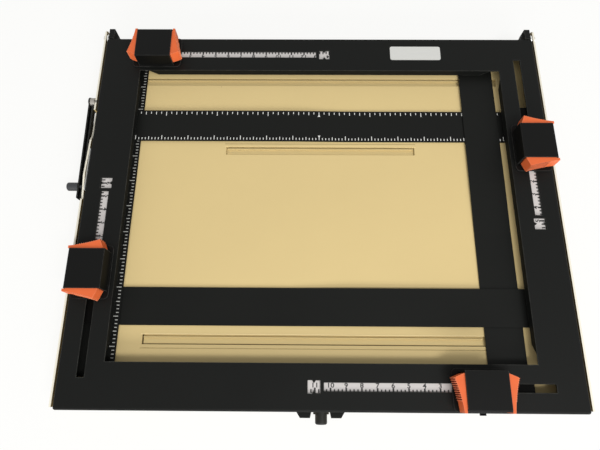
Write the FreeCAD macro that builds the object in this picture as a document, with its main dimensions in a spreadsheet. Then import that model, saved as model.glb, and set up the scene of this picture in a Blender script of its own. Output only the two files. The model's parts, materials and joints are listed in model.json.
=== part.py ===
# Enlarging easel with four adjustable masking blades.
#
# Frame: X to the right, Y to the rear, Z up, millimetres. The origin is on the
# surface that the easel stands on, under the middle of its bounding box. Shapes
# are drawn about the centre of the picture opening and then shifted there.
#
# Each side of the mask frame carries one slider. A slider is drawn once, in the
# frame of the front side: X is its travel outward, -Y points away from the
# opening, and the local origin lies on the opening's edge at the slider's middle.
import FreeCAD
import Part
import os
import re
from dataclasses import dataclass

import Sketcher

SIZES = {
    # picture opening and mask frame
    "open_wide": 355.6,
    "open_deep": 279.4,
    "frame_sheet": 1.0,
    "frame_rise": 9.0,
    "frame_bend": 2.0,
    "inner_drop": 7.3,
    "inner_end": 9.0,
    "inner_taper": 7.5,
    "rest_gap": 0.3,
    # slots, windows and pointer teeth in the mask frame
    "slot_centre": 18.5,
    "slot_width": 6.6,
    "slot_spare": 0.5,
    "slot_extra": 13.4,
    "window_size": 10.3,
    "window_back_wide": 5.35,
    "window_back_deep": 18.7,
    "tooth_long": 2.4,
    "tooth_wide": 3.2,
    # blades
    "blade_width": 33.0,
    "blade_lead": 11.0,
    "blade_sheet": 0.8,
    "blade_gap": 0.4,
    "weave_gap": 0.3,
    "blade_overlap": 12.0,
    "smallest_image": 50.8,
    "retract": 0.7,
    "foot_gap": 0.4,
    "foot_rise": 7.1,
    # how far each slider stands in from its fully open place
    "front_inset": 38.1,
    "right_inset": 73.7,
    "rear_inset": 5.7,
    "left_inset": 64.5,
    # carriage
    "carriage_back": 16.0,
    "carriage_inner": 4.0,
    "carriage_sheet": 1.5,
    "skirt_drop": 3.3,
    "outer_gap": 0.4,
    "tape_room": 0.8,
    "neck_back": 11.2,
    "neck_front": 22.4,
    "slide_gap": 0.3,
    "hook_wide": 5.0,
    "hook_thick": 1.4,
    "hook_reach": 2.0,
    # tape and its guide
    "tape_width": 9.8,
    "tape_thick": 0.4,
    "tape_spare": 1.2,
    "guide_wide": 7.0,
    "guide_sheet": 0.7,
    "guide_gap": 2.4,
    # slider plate and cap
    "plate_half": 23.6,
    "plate_inner": 3.3,
    "plate_outer": 36.5,
    "plate_thick": 0.9,
    "plate_corner": 4.0,
    "cap_half": 17.05,
    "cap_inner": 4.8,
    "cap_outer": 35.9,
    "cap_high": 15.8,
    "cap_wall": 1.2,
    "cap_roof": 0.9,
    "cap_round": 1.8,
    "cap_edge": 0.6,
    "tab_half": 7.0,
    "tab_deep": 3.2,
    # squeeze levers
    "lever_lift": 1.9,
    "lever_clear": 0.3,
    "lever_side": 0.35,
    "tip_half": 19.6,
    "tip_over": 0.9,
    "bulge_half": 25.2,
    "bulge_out": 10.3,
    "nose_in": 1.1,
    "arm_half": 12.0,
    "arm_in": 2.5,
    "heel_half": 10.2,
    "heel_in": 0.9,
    "shank_in": 6.7,
    "pivot_half": 14.0,
    "pivot_in": 3.7,
    "lever_pin": 1.5,
    "running_fit": 0.05,
    "seat_fit": 0.02,
    "grip_radius": 115.0,
    "grip_hollow": 0.8,
    "bulge_round": 1.4,
    # hairpin spring between the levers
    "spring_sheet": 0.8,
    "spring_high": 4.0,
    "spring_lift": 5.6,
    "spring_tip_in": 6.0,
    "spring_bend_half": 2.9,
    "spring_post": 2.0,
    "spring_touch": 0.3,
    # rivets
    "rivet_head": 1.5,
    "rivet_high": 0.7,
    "tab_rivet_half": 4.5,
    # name plate on the mask frame
    "name_left": 71.1,
    "name_wide": 50.1,
    "name_back": 12.3,
    "name_deep": 15.6,
    "name_thick": 0.5,
    "name_corner": 2.0,
    # lifting tabs at the front of the mask frame
    "tab_lift": 1.0,
    "tab_root_in": 7.3,
    "tab_root_wide": 12.6,
    "tab_tip_step": 1.2,
    "tab_tip_wide": 8.2,
    "tab_reach": 4.7,
    # tray that carries the paper
    "tray_sheet": 1.6,
    "tray_depth": 16.0,
    "tray_lip": 19.0,
    "tray_bend": 1.5,
    "tray_rear_set": 1.5,
    "rail_gap": 3.4,
    # paper stops and their slots in the tray
    "stop_slot": 8.2,
    "rear_slot": 129.5,
    "rear_slot_past": 7.2,
    "middle_slot": 53.2,
    "middle_inset_left": 88.2,
    "middle_inset_right": 86.3,
    "front_slot": -124.8,
    "front_inset_left": 25.5,
    "front_inset_right": 17.8,
    "rear_stop_inset": 37.3,
    "middle_stop_inset": 73.8,
    "front_stop_inset": 39.2,
    "stop_sheet": 0.8,
    "stop_gap": 0.3,
    "stop_margin": 1.6,
    "stop_travel": 4.2,
    "lip_sunk": 0.1,
    "lip_short": 1.2,
    "strip_lap": 3.0,
    "carrier_wide": 12.0,
    "carrier_sheet": 1.6,
    "carrier_past": 3.0,
    "carrier_gap": 0.4,
    "strap_sheet": 0.8,
    "strap_wide": 12.0,
    "strap_front": -60.0,
    "strap_rear": 20.0,
    "strap_right": 16.0,
    # side rails
    "rail_sheet": 1.6,
    "rail_rise": 6.3,
    "rail_front": 2.0,
    "rail_flange": 14.0,
    "rail_ear_reach": 14.0,
    "rail_ear_drop": 5.7,
    "rail_ear_round": 3.0,
    "relief_rear": 98.0,
    "relief_deep": 5.2,
    "relief_front": 72.0,
    "relief_shallow": 4.0,
    "relief_ramp": 6.0,
    "relief_step": 1.2,
    "guard_y": 29.0,
    "guard_rise": 1.6,
    "relief_end": 5.0,
    "relief_end_deep": 2.3,
    # hinge between tray and mask frame
    "hinge_back": 5.7,
    "hinge_rise": 1.3,
    "hinge_pin": 2.0,
    "lug_radius": 5.5,
    "bracket_wide": 5.4,
    "bracket_inset": 1.5,
    "gusset": 4.0,
    "gusset_back": 9.0,
    "pin_head": 1.4,
    "pin_head_radius": 4.0,
    "washer_radius": 3.6,
    "washer_gap": 0.3,
    "pin_past": 2.0,
    # margin lever
    "lever_y": 107.2,
    "lever_rise": 4.3,
    "margin_gap": 0.8,
    "margin_wide": 4.8,
    "margin_web": 1.0,
    "margin_wall": 1.2,
    "margin_high": 6.0,
    "margin_back": 4.9,
    "margin_long": 103.4,
    "margin_fall": 4.0,
    "margin_taper": 12.0,
    "margin_skew": 3.2,
    "margin_eye": 4.5,
    "stud_radius": 2.4,
    "stud_barrel": 4.2,
    "stud_cap": 3.0,
    "stud_cap_thick": 0.6,
    "stud_play": 0.2,
    "crank_throw": 12.0,
    "crank_pin": 2.0,
    "crank_arm": 4.2,
    "crank_tab": 10.0,
    "crank_tab_drop": 5.0,
    "crank_slide": 0.1,
    "knob_back": 15.1,
    "knob_radius": 4.0,
    "knob_pin": 1.6,
    "knob_out": 10.5,
    "knob_round": 1.5,
    "scale_back": 10.2,
    "scale_long": 42.5,
    "scale_high": 4.0,
    "scale_rise": 5.7,
    "scale_thick": 0.8,
    # release button and catch
    "button_x": 0.85,
    "button_drop": 7.7,
    "button_radius": 5.0,
    "button_out": 10.5,
    "button_round": 1.6,
    "button_long": 13.0,
    "bush_radius": 6.0,
    "bush_flange": 6.6,
    "bush_flange_thick": 2.4,
    "bush_long": 8.0,
    "rod_radius": 2.5,
    "rod_long": 9.0,
    "catch_thick": 2.0,
    "nose_thick": 1.0,
    "nose_under": 1.0,
    "catch_gap": 0.4,
    "striker_wide": 6.0,
    "striker_sheet": 1.0,
    "striker_gap": 0.5,
    "striker_drop": 4.7,
    "striker_clear": 0.5,
    # feet
    "foot_height": 6.0,
    "foot_radius": 8.0,
    "foot_inset": 28.0,
    "screw_radius": 1.75,
    "screw_head": 3.2,
    "screw_head_high": 2.0,
    "screw_sunk": 1.6,
    "screw_past": 2.0,
}

# Sizes worked out from the sheet, as formulas over its cells.
DERIVED = {
    "half_wide": "open_wide / 2",
    "half_deep": "open_deep / 2",
    "side_width": "skirt_outer + outer_gap + frame_sheet",
    "outer_wide": "half_wide + side_width",
    "outer_deep": "half_deep + side_width",
    # heights, from the floor up
    "tray_top": "foot_height + tray_depth",
    "tray_under": "tray_top - tray_sheet",
    "low_bottom": "tray_top + blade_gap",
    "low_top": "low_bottom + blade_sheet",
    "high_bottom": "low_top + weave_gap",
    "high_top": "high_bottom + blade_sheet",
    "frame_top": "high_top + frame_rise",
    "frame_under": "frame_top - frame_sheet",
    "inner_low": "frame_top - inner_drop",
    "flange_low": "tray_top + rest_gap",
    "carriage_top": "frame_under - tape_room",
    "hook_low": "tray_top + hook_thick",
    "hook_top": "hook_low + hook_thick",
    "notch_top": "hook_top + foot_gap",
    "plate_low": "frame_top + slide_gap",
    "plate_top": "plate_low + plate_thick",
    "cap_top": "plate_top + cap_high",
    "roof_low": "cap_top - cap_roof",
    "lever_low": "plate_top + lever_lift",
    "lever_top": "roof_low - lever_clear",
    "stop_top": "tray_under - stop_gap",
    "stop_low": "stop_top - stop_sheet",
    "carrier_low": "stop_low - carrier_sheet",
    # slider settings, as distances from the middle of the opening
    "setting_low": "smallest_image / 2 - blade_lead",
    "open_set_wide": "half_wide + retract - blade_lead",
    "open_set_deep": "half_deep + retract - blade_lead",
    # blade and carriage, as distances outward from the opening's edge
    "blade_end": "blade_lead + blade_width",
    "foot_inner": "retract + blade_width + foot_gap",
    "skirt_inner": "foot_inner + blade_sheet",
    "skirt_outer": "skirt_inner + carriage_sheet",
    "flange_inner": "side_width - frame_sheet",
    "joggle_half": "smallest_image / 2 - 0.9",
    "slot_in": "slot_centre - slot_width / 2",
    "slot_out": "slot_centre + slot_width / 2",
    "tape_start": "neck_back + slide_gap",
    "guide_near": "carriage_back - setting_low + guide_gap",
    # levers, in the frame of a slider
    "tip_out": "cap_outer + tip_over",
    "wall_inner": "cap_inner + cap_wall",
    "wall_outer": "cap_outer - cap_wall",
    "side_half": "cap_half + lever_side",
    "pivot_out": "wall_outer - pivot_in",
    "grip_chord": "sqrt((bulge_half - tip_half)^2 + (tip_out - bulge_out)^2)",
    "grip_away": "(grip_radius - grip_hollow) / grip_chord",
    "post_out": "wall_outer - shank_in - spring_post - spring_touch",
    # tray, rails and hinge
    "tray_rear": "outer_deep - tray_rear_set",
    "rail_inner": "outer_wide + rail_gap",
    "rail_outer": "rail_inner + rail_sheet",
    "hinge_y": "outer_deep + hinge_back",
    "hinge_z": "tray_top + hinge_rise",
    "bracket_outer": "outer_wide - bracket_inset",
    "bracket_inner": "bracket_outer - bracket_wide",
    # slots and stops, which keep their distances from the opening's sides
    "rear_slot_left": "-half_wide - rear_slot_past",
    "rear_slot_right": "half_wide",
    "middle_slot_left": "middle_inset_left - half_wide",
    "middle_slot_right": "half_wide - middle_inset_right",
    "front_slot_left": "front_inset_left - half_wide",
    "front_slot_right": "half_wide - front_inset_right",
    "rear_stop_right": "half_wide - rear_stop_inset",
    "middle_stop_right": "half_wide - middle_stop_inset",
    "front_stop_right": "half_wide - front_stop_inset",
    # margin lever, whose knob and scale keep their distances from its front end
    "lever_z": "tray_top + lever_rise",
    "lever_front": "lever_y - margin_long",
    "knob_y": "lever_front + knob_back",
    "scale_front": "lever_front + scale_back",
    "crank_z": "lever_z - crank_throw",
    "margin_inner": "rail_outer + margin_gap",
    "margin_outer": "margin_inner + margin_wide",
    "carrier_left": "rail_inner - rail_flange - carrier_gap * 5",
    "crank_tab_face": "carrier_left + carrier_sheet",
    # release button
    "button_z": "tray_top - button_drop",
    "front_face": "-outer_deep",
    "striker_right": "button_x - bush_radius - striker_clear * 2",
    "striker_mid": "striker_right - striker_wide / 2",
    "striker_front": "front_face + tray_sheet + striker_gap",
    "striker_back": "striker_front + striker_sheet",
    "nose_top": "tray_under - nose_under",
    "plate_y": "front_face - bush_flange_thick + bush_long + rod_long - catch_thick",
    # middle of the bounding box, seen from the middle of the opening
    "mid_x": "(rail_outer + pin_head - margin_outer - knob_out) / 2",
    "mid_y": "(rail_ear_reach - button_out) / 2",
}

AXES = "xyz"
BOX_SIDES = ("Length", "Width", "Height")
ALONG = {
    "x": FreeCAD.Rotation(FreeCAD.Vector(0, 1, 0), 90),
    "y": FreeCAD.Rotation(FreeCAD.Vector(1, 0, 0), -90),
    "z": FreeCAD.Rotation(),
}
WORD = re.compile(r"[a-z]+[a-z_]*")
ORIGIN = -1

doc = FreeCAD.newDocument("EnlargingEasel")
sheet = doc.addObject("Spreadsheet::Sheet", "Sizes")
pieces = []


# ---------------------------------------------------------------- expressions

def fill_sheet():
    """Put each driving size in a row of its own, under its alias."""
    for row, (alias, value) in enumerate(SIZES.items(), start=1):
        sheet.set(f"A{row}", alias)
        sheet.set(f"B{row}", str(value))
        sheet.setAlias(f"B{row}", alias)
    doc.recompute()


def formula(text):
    """Return an expression in which each name reads the sheet or its own formula."""
    def swap(match):
        word = match.group(0)
        if word in SIZES:
            return f"Sizes.{word}"
        if word in DERIVED:
            return f"({formula(DERIVED[word])})"
        return word
    return WORD.sub(swap, str(text))


def bind(obj, name, text):
    """Drive one property of an object by a formula."""
    obj.setExpression(name, formula(text))


def value(text):
    """Return what a formula gives with the sizes as they stand."""
    return sheet.evalExpression(formula(text))


def less(text):
    """Return the formula of the opposite number."""
    return f"-({text})"


# ----------------------------------------------------------- simple solids

def block(name, across, deep, high):
    """Make a box between three pairs of formulas."""
    box = doc.addObject("Part::Box", name)
    for axis, length, (low, top) in zip(AXES, BOX_SIDES, (across, deep, high)):
        bind(box, f"Placement.Base.{axis}", low)
        bind(box, length, f"({top}) - ({low})")
    return box


def rod(name, axis, start, radius, length):
    """Make a cylinder that starts at a point and runs along +X, +Y or +Z."""
    cylinder = doc.addObject("Part::Cylinder", name)
    cylinder.Placement.Rotation = ALONG[axis]
    for letter, text in zip(AXES, start):
        bind(cylinder, f"Placement.Base.{letter}", text)
    bind(cylinder, "Radius", radius)
    bind(cylinder, "Height", length)
    return cylinder


def fuse(name, parts):
    """Join solids into one."""
    joined = doc.addObject("Part::MultiFuse", name)
    joined.Shapes = parts
    joined.Refine = True
    return joined


def cut(name, base, tool):
    """Take one solid out of another."""
    left = doc.addObject("Part::Cut", name)
    left.Base = base
    left.Tool = tool
    return left


def group(name, parts):
    """Hold several solids as one node."""
    held = doc.addObject("Part::Compound", name)
    held.Links = parts
    return held


# ------------------------------------------------------- PartDesign features

def new_body(name):
    """Start a PartDesign body."""
    return doc.addObject("PartDesign::Body", name)


def draw(body, name, plane, level, outlines=(), circles=()):
    """Sketch closed outlines and circles on an origin plane moved to a level.

    The XY plane's sketch reads (x, y), YZ reads (y, z) and XZ reads (x, z). The
    level is the place along the plane's normal, which is -Y for XZ.
    """
    sketch = body.newObject("Sketcher::SketchObject", name)
    origin = [item for item in body.Origin.OriginFeatures if item.Role == f"{plane}_Plane"]
    sketch.AttachmentSupport = [(origin[0], "")]
    sketch.MapMode = "FlatFace"
    bind(sketch, "AttachmentOffset.Base.z", level)
    for outline in outlines:
        draw_outline(sketch, outline)
    for across, up, radius in circles:
        draw_circle(sketch, across, up, radius)
    return sketch


def draw_outline(sketch, outline):
    """Add a closed polygon whose corners are bound to formulas."""
    first = sketch.GeometryCount
    spots = [FreeCAD.Vector(value(x), value(y), 0) for x, y in outline]
    following = spots[1:] + spots[:1]
    for start, end in zip(spots, following):
        sketch.addGeometry(Part.LineSegment(start, end), False)
    count = len(outline)
    for index in range(count):
        near = first + index
        far = first + (index + 1) % count
        sketch.addConstraint(Sketcher.Constraint("Coincident", near, 2, far, 1))
    for index, (x, y) in enumerate(outline):
        pin_point(sketch, first + index, 1, x, y)


def draw_circle(sketch, across, up, radius):
    """Add a circle whose middle and radius are bound to formulas."""
    middle = FreeCAD.Vector(value(across), value(up), 0)
    number = sketch.addGeometry(Part.Circle(middle, FreeCAD.Vector(0, 0, 1), value(radius)), False)
    pin_point(sketch, number, 3, across, up)
    bound = sketch.addConstraint(Sketcher.Constraint("Radius", number, value(radius)))
    sketch.setExpression(f"Constraints[{bound}]", formula(radius))


def pin_point(sketch, number, vertex, across, up):
    """Place one point of a sketch from the sketch's origin."""
    for kind, text in (("DistanceX", across), ("DistanceY", up)):
        rule = Sketcher.Constraint(kind, ORIGIN, 1, number, vertex, value(text))
        bound = sketch.addConstraint(rule)
        sketch.setExpression(f"Constraints[{bound}]", formula(text))


def pad(body, name, plane, span, outlines=(), circles=()):
    """Add material between the two ends of a span along the plane's axis."""
    feature = body.newObject("PartDesign::Pad", name)
    return run_feature(body, feature, name, plane, span, outlines, circles)


def pocket(body, name, plane, span, outlines=(), circles=()):
    """Take material away between the two ends of a span, and check that it went."""
    before = body.Shape.Volume
    feature = body.newObject("PartDesign::Pocket", name)
    feature.Reversed = True
    run_feature(body, feature, name, plane, span, outlines, circles)
    if body.Shape.Volume >= before:
        raise ValueError(f"{name} cuts nothing")
    return feature


def run_feature(body, feature, name, plane, span, outlines, circles):
    """Give a pad or pocket its sketch and its length, and work it out."""
    low, high = span
    level = less(high) if plane == "XZ" else low
    feature.Profile = draw(body, f"{name}_sketch", plane, level, outlines, circles)
    bind(feature, "Length", f"({high}) - ({low})")
    doc.recompute()
    return feature


def round_edges(body, name, radius, chosen):
    """Fillet the edges of a body that a test picks by their shape."""
    base = body.Tip
    names = [f"Edge{number}" for number, edge in enumerate(base.Shape.Edges, start=1) if chosen(edge)]
    feature = body.newObject("PartDesign::Fillet", name)
    feature.Base = (base, names)
    bind(feature, "Radius", radius)
    doc.recompute()
    return feature


def along(edge, axis):
    """Tell whether a straight edge runs along an axis, given by its number."""
    ends = [vertex.Point for vertex in edge.Vertexes]
    if len(ends) != 2 or not isinstance(edge.Curve, Part.Line):
        return False
    steps = [abs(ends[0][other] - ends[1][other]) for other in range(3) if other != axis]
    return max(steps) < 1e-6


def near(number, text):
    """Tell whether a coordinate is where a formula puts it."""
    return abs(number - value(text)) < 1e-4


def rectangle(x_low, x_high, y_low, y_high):
    """Return the four corners of a rectangle."""
    return [(x_low, y_low), (x_high, y_low), (x_high, y_high), (x_low, y_high)]


def finish(obj, label, turn=0, spot=("0", "0")):
    """Name a finished sub-part and set it in the easel's frame."""
    obj.Label = label
    obj.Placement.Rotation = FreeCAD.Rotation(FreeCAD.Vector(0, 0, 1), turn)
    bind(obj, "Placement.Base.x", f"({spot[0]}) - mid_x")
    bind(obj, "Placement.Base.y", f"({spot[1]}) - mid_y")
    pieces.append(obj)


# ------------------------------------------------------------------ the sides

@dataclass(frozen=True)
class Side:
    """One side of the mask frame, with the slider that runs in it.

    Attributes:
        name: Which side it is.
        turn: Degrees from the front side to this one, about +Z.
        edge: Formula of the opening's edge, from the middle of the opening.
        across: Formula of the opening's size that this slider's blade spans.
        open_set: Formula of the slider's place when its blade is fully open.
        window_back: Formula of the window's place behind the middle.
        slot_extra: Formula of the slot's extra length at its inner end.
        blade: Which edge of the picture the slider's blade masks.
    """

    name: str
    turn: int
    edge: str
    across: str
    open_set: str
    window_back: str
    slot_extra: str
    blade: str

    @property
    def setting(self):
        """Formula of the slider's place at rest."""
        return f"{self.open_set} - {self.name}_inset"

    def spot(self, travel, out):
        """Turn a place along the side and outward from its edge into (x, y)."""
        far = f"{self.edge} + {out}"
        spots = {
            0: (travel, less(far)),
            90: (far, travel),
            180: (less(travel), far),
            -90: (less(far), less(travel)),
        }
        return spots[self.turn]

    def outline(self, points):
        """Turn a list of (travel, out) into an outline of the easel's plan."""
        return [self.spot(travel, out) for travel, out in points]

    def strip(self, start, end, inner, outer):
        """Return the outline of a rectangle along this side."""
        return self.outline(rectangle(start, end, inner, outer))

    def place(self, obj, label):
        """Finish a piece that was drawn in the slider's frame."""
        finish(obj, f"{label}_{self.name}", self.turn, self.spot(self.setting, "0"))


WIDE = ("open_set_wide", "window_back_wide", "0")
DEEP = ("open_set_deep", "window_back_deep", "slot_extra")
SIDES = (
    Side("front", 0, "half_deep", "open_deep", *WIDE, "right"),
    Side("right", 90, "half_wide", "open_wide", *DEEP, "rear"),
    Side("rear", 180, "half_deep", "open_deep", *WIDE, "left"),
    Side("left", -90, "half_wide", "open_wide", *DEEP, "front"),
)


# ----------------------------------------------------------------- mask frame

def make_mask_frame():
    """Folded sheet frame with four slots, windows, lifting tabs and a striker."""
    body = new_body("MaskFrame")
    outer = rectangle("-outer_wide", "outer_wide", "-outer_deep", "outer_deep")
    pad(body, "frame_block", "XY", ("flange_low", "frame_top"), [outer])
    round_edges(body, "frame_bends", "frame_bend", is_frame_bend)
    inset_x = "outer_wide - frame_sheet"
    inset_y = "outer_deep - frame_sheet"
    inside = rectangle(less(inset_x), inset_x, less(inset_y), inset_y)
    pocket(body, "frame_inside", "XY", ("flange_low - 1", "frame_under"), [inside])
    opening = rectangle("-half_wide", "half_wide", "-half_deep", "half_deep")
    pocket(body, "frame_opening", "XY", ("frame_under - 1", "frame_top + 1"), [opening])
    add_inner_flanges(body)
    add_side_cuts(body)
    add_lifting_tabs(body)
    add_striker(body)
    finish(body, "mask_frame")


def is_frame_bend(edge):
    """Pick the frame's four upright corners and the edges of its top."""
    upright = along(edge, 2)
    on_top = all(near(vertex.Z, "frame_top") for vertex in edge.Vertexes)
    return upright or on_top


def add_inner_flanges(body):
    """Fold a flange down along each edge of the opening, tapered at its ends."""
    plans = (("XZ", "half_wide", "half_deep"), ("YZ", "half_deep", "half_wide"))
    for plane, half, away in plans:
        top = f"{half} - inner_end"
        low = f"{top} - inner_taper"
        face = [
            (less(low), "inner_low"),
            (low, "inner_low"),
            (top, "frame_under"),
            (less(top), "frame_under"),
        ]
        back = f"{away} + frame_sheet"
        pad(body, f"flange_{plane}_far", plane, (away, back), [face])
        pad(body, f"flange_{plane}_near", plane, (less(back), less(away)), [face])


def add_side_cuts(body):
    """Cut each side's slot and window, and its flange clear of the slider's hook."""
    slots = []
    windows = []
    for side in SIDES:
        start = f"setting_low - neck_back - slot_spare - {side.slot_extra}"
        end = f"{side.open_set} + neck_front + slot_spare"
        slots.append(side.strip(start, end, "slot_in", "slot_out"))
        windows.append(side.outline(window_points(side.window_back)))
    pocket(body, "slots", "XY", ("frame_under - 1", "frame_top + 1"), slots)
    pocket(body, "windows", "XY", ("frame_under - 1", "frame_top + 1"), windows)
    for side in SIDES:
        start = "setting_low - slot_spare"
        end = f"{side.open_set} + hook_wide + slot_spare"
        notch = side.strip(start, end, "flange_inner - foot_gap", "side_width + 1")
        pocket(body, f"notch_{side.name}", "XY", ("flange_low - 1", "notch_top"), [notch])


def window_points(back):
    """Return a window's outline, with a pointer tooth on its inner and outer edge."""
    left = f"-({back}) - window_size / 2"
    right = f"-({back}) + window_size / 2"
    tooth_left = f"-({back}) - tooth_wide / 2"
    tooth_right = f"-({back}) + tooth_wide / 2"
    low = "slot_centre - window_size / 2"
    high = "slot_centre + window_size / 2"
    return [
        (left, low),
        (tooth_left, low),
        (less(back), f"{low} + tooth_long"),
        (tooth_right, low),
        (right, low),
        (right, high),
        (tooth_right, high),
        (less(back), f"{high} - tooth_long"),
        (tooth_left, high),
        (left, high),
    ]


def add_lifting_tabs(body):
    """Bend two tabs forward out of the front flange."""
    root = "tab_root_in"
    root_far = "tab_root_in + tab_root_wide"
    tip = "tab_root_in + tab_tip_step"
    tip_far = "tab_root_in + tab_tip_step + tab_tip_wide"
    back = "front_face + frame_sheet / 2"
    ahead = "front_face - tab_reach"
    span = ("notch_top + tab_lift", "notch_top + tab_lift + frame_sheet")
    right = [(root, back), (tip, ahead), (tip_far, ahead), (root_far, back)]
    left = [(less(x), y) for x, y in right]
    pad(body, "tab_right", "XY", span, [right])
    pad(body, "tab_left", "XY", span, [left])


def add_striker(body):
    """Hang the striker that the release catch holds, with a window for its nose."""
    left = "striker_mid - striker_wide / 2"
    low = "tray_under - striker_drop"
    span = (low, "flange_low + frame_sheet")
    plate = rectangle(left, "striker_right", "striker_front", "striker_back")
    pad(body, "striker", "XY", span, [plate])
    root = rectangle(left, "striker_right", "front_face + frame_sheet / 2", "striker_back")
    pad(body, "striker_root", "XY", ("flange_low", "flange_low + frame_sheet"), [root])
    nose_low = "nose_top - nose_thick - striker_clear"
    inner_left = "striker_mid - striker_wide / 2 + frame_sheet"
    inner_right = "striker_right - frame_sheet"
    window = rectangle(inner_left, inner_right, nose_low, "nose_top + striker_clear")
    pocket(body, "striker_window", "XZ", ("striker_front - 1", "striker_back + 1"), [window])


def make_name_plate():
    """Small blank plate on the rear side of the mask frame."""
    body = new_body("NamePlate")
    front = "half_deep + name_back"
    outline = rectangle("name_left", "name_left + name_wide", front, f"{front} + name_deep")
    pad(body, "name_plate_pad", "XY", ("frame_top", "frame_top + name_thick"), [outline])
    round_edges(body, "name_plate_corners", "name_corner", lambda edge: along(edge, 2))
    finish(body, "name_plate")


def make_tape_guides():
    """Straps under the mask frame that hold each tape up to its window."""
    straps = []
    inner = "slot_centre - tape_width / 2 - slide_gap"
    outer = "slot_centre + tape_width / 2 + slide_gap"
    low = "carriage_top - slide_gap - guide_sheet"
    start = "-guide_near - guide_wide"
    end = "-guide_near"
    for side in SIDES:
        shape = new_body(f"TapeGuide_{side.name}")
        ring = side.strip(start, end, f"{inner} - guide_sheet", f"{outer} + guide_sheet")
        pad(shape, f"guide_{side.name}_block", "XY", (low, "frame_under"), [ring])
        hollow = side.strip(f"{start} - 1", f"{end} + 1", inner, outer)
        span = (f"{low} + guide_sheet", "frame_under + 1")
        pocket(shape, f"guide_{side.name}_hollow", "XY", span, [hollow])
        straps.append(shape)
    finish(group("TapeGuides", straps), "tape_guides")


# -------------------------------------------------------------------- sliders

def make_blade(side):
    """Sheet blade: low from its foot to the middle, then high over its neighbour."""
    body = new_body(f"Blade_{side.name}")
    middle = f"{side.across} / 2"
    near_end = f"{middle} - joggle_half"
    far_end = f"{middle} + joggle_half"
    free = f"{side.across} + blade_overlap"
    foot_top = "low_bottom + foot_rise"
    outline = [
        ("-skirt_inner", "low_bottom"),
        (near_end, "low_bottom"),
        (far_end, "high_bottom"),
        (free, "high_bottom"),
        (free, "high_top"),
        (far_end, "high_top"),
        (near_end, "low_top"),
        ("-foot_inner", "low_top"),
        ("-foot_inner", foot_top),
        ("-skirt_inner", foot_top),
    ]
    pad(body, f"blade_{side.name}_pad", "YZ", ("blade_lead", "blade_end"), [outline])
    finish(body, f"blade_{side.blade}", side.turn, side.spot(side.setting, "0"))


def make_carriage(side):
    """Channel under the mask frame, with a neck up through the slot and a hook."""
    tag = f"carriage_{side.name}"
    body = new_body(f"Carriage_{side.name}")
    back = "-carriage_back"
    deck = rectangle(back, "blade_end", "-skirt_outer", "-carriage_inner")
    pad(body, f"{tag}_deck", "XY", ("carriage_top - carriage_sheet", "carriage_top"), [deck])
    skirt = rectangle(back, "blade_end", "-skirt_outer", "-skirt_inner")
    pad(body, f"{tag}_skirt", "XY", ("high_top + foot_gap", "carriage_top"), [skirt])
    lip = rectangle(back, "blade_end", "-carriage_inner - carriage_sheet", "-carriage_inner")
    pad(body, f"{tag}_lip", "XY", ("carriage_top - carriage_sheet - skirt_drop", "carriage_top"), [lip])
    neck_inner = "-slot_in - slide_gap"
    neck_outer = "-slot_out + slide_gap"
    neck = rectangle("-neck_back", "neck_front", neck_outer, neck_inner)
    pad(body, f"{tag}_neck", "XY", ("carriage_top", "plate_low"), [neck])
    leg = rectangle("0", "hook_wide", "-skirt_outer", "-skirt_inner")
    pad(body, f"{tag}_leg", "XY", ("hook_low", "carriage_top"), [leg])
    hook = rectangle("0", "hook_wide", "-side_width - hook_reach", "-skirt_inner")
    pad(body, f"{tag}_hook", "XY", ("hook_low", "hook_top"), [hook])
    side.place(body, "carriage")


def make_tape(side):
    """Printed steel tape that runs from the carriage back past its window."""
    body = new_body(f"Tape_{side.name}")
    reach = f"{side.open_set} + {side.window_back} + window_size / 2 + tape_spare"
    outer = "-slot_centre - tape_width / 2"
    inner = "-slot_centre + tape_width / 2"
    strip = rectangle(less(reach), "-tape_start", outer, inner)
    pad(body, f"tape_{side.name}_pad", "XY", ("carriage_top", "carriage_top + tape_thick"), [strip])
    side.place(body, "tape")


def make_slider_plate(side):
    """Flat plate on top of the mask frame, screwed to the carriage's neck."""
    body = new_body(f"SliderPlate_{side.name}")
    outline = rectangle("-plate_half", "plate_half", "-plate_outer", "-plate_inner")
    pad(body, f"plate_{side.name}_pad", "XY", ("plate_low", "plate_top"), [outline])
    round_edges(body, f"plate_{side.name}_corners", "plate_corner", lambda edge: along(edge, 2))
    side.place(body, "slider_plate")


def make_cap(side):
    """Pressed cover over the levers, open at both ends, with two inward tabs."""
    tag = f"cap_{side.name}"
    body = new_body(f"Cap_{side.name}")
    outline = rectangle("-cap_half", "cap_half", "-cap_outer", "-cap_inner")
    pad(body, f"{tag}_block", "XY", ("plate_top", "cap_top"), [outline])
    round_edges(body, f"{tag}_outer_bend", "cap_round", lambda edge: is_cap_edge(edge, "-cap_outer"))
    round_edges(body, f"{tag}_inner_bend", "cap_edge", lambda edge: is_cap_edge(edge, "-cap_inner"))
    tunnel = rectangle("-cap_half - 1", "cap_half + 1", "-wall_outer", "-wall_inner")
    pocket(body, f"{tag}_tunnel", "XY", ("plate_top - 1", "roof_low"), [tunnel])
    front = rectangle("-tab_half", "tab_half", "-wall_inner - tab_deep", "-wall_inner")
    back = rectangle("-tab_half", "tab_half", "-wall_outer", "-wall_outer + tab_deep")
    pad(body, f"{tag}_tabs", "XY", ("plate_top", "plate_top + cap_wall"), [front, back])
    side.place(body, "cap")


def is_cap_edge(edge, place):
    """Pick the top edge of a cap that lies at a place along Y."""
    ends = edge.Vertexes
    return along(edge, 0) and all(near(end.Z, "cap_top") and near(end.Y, place) for end in ends)


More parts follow.
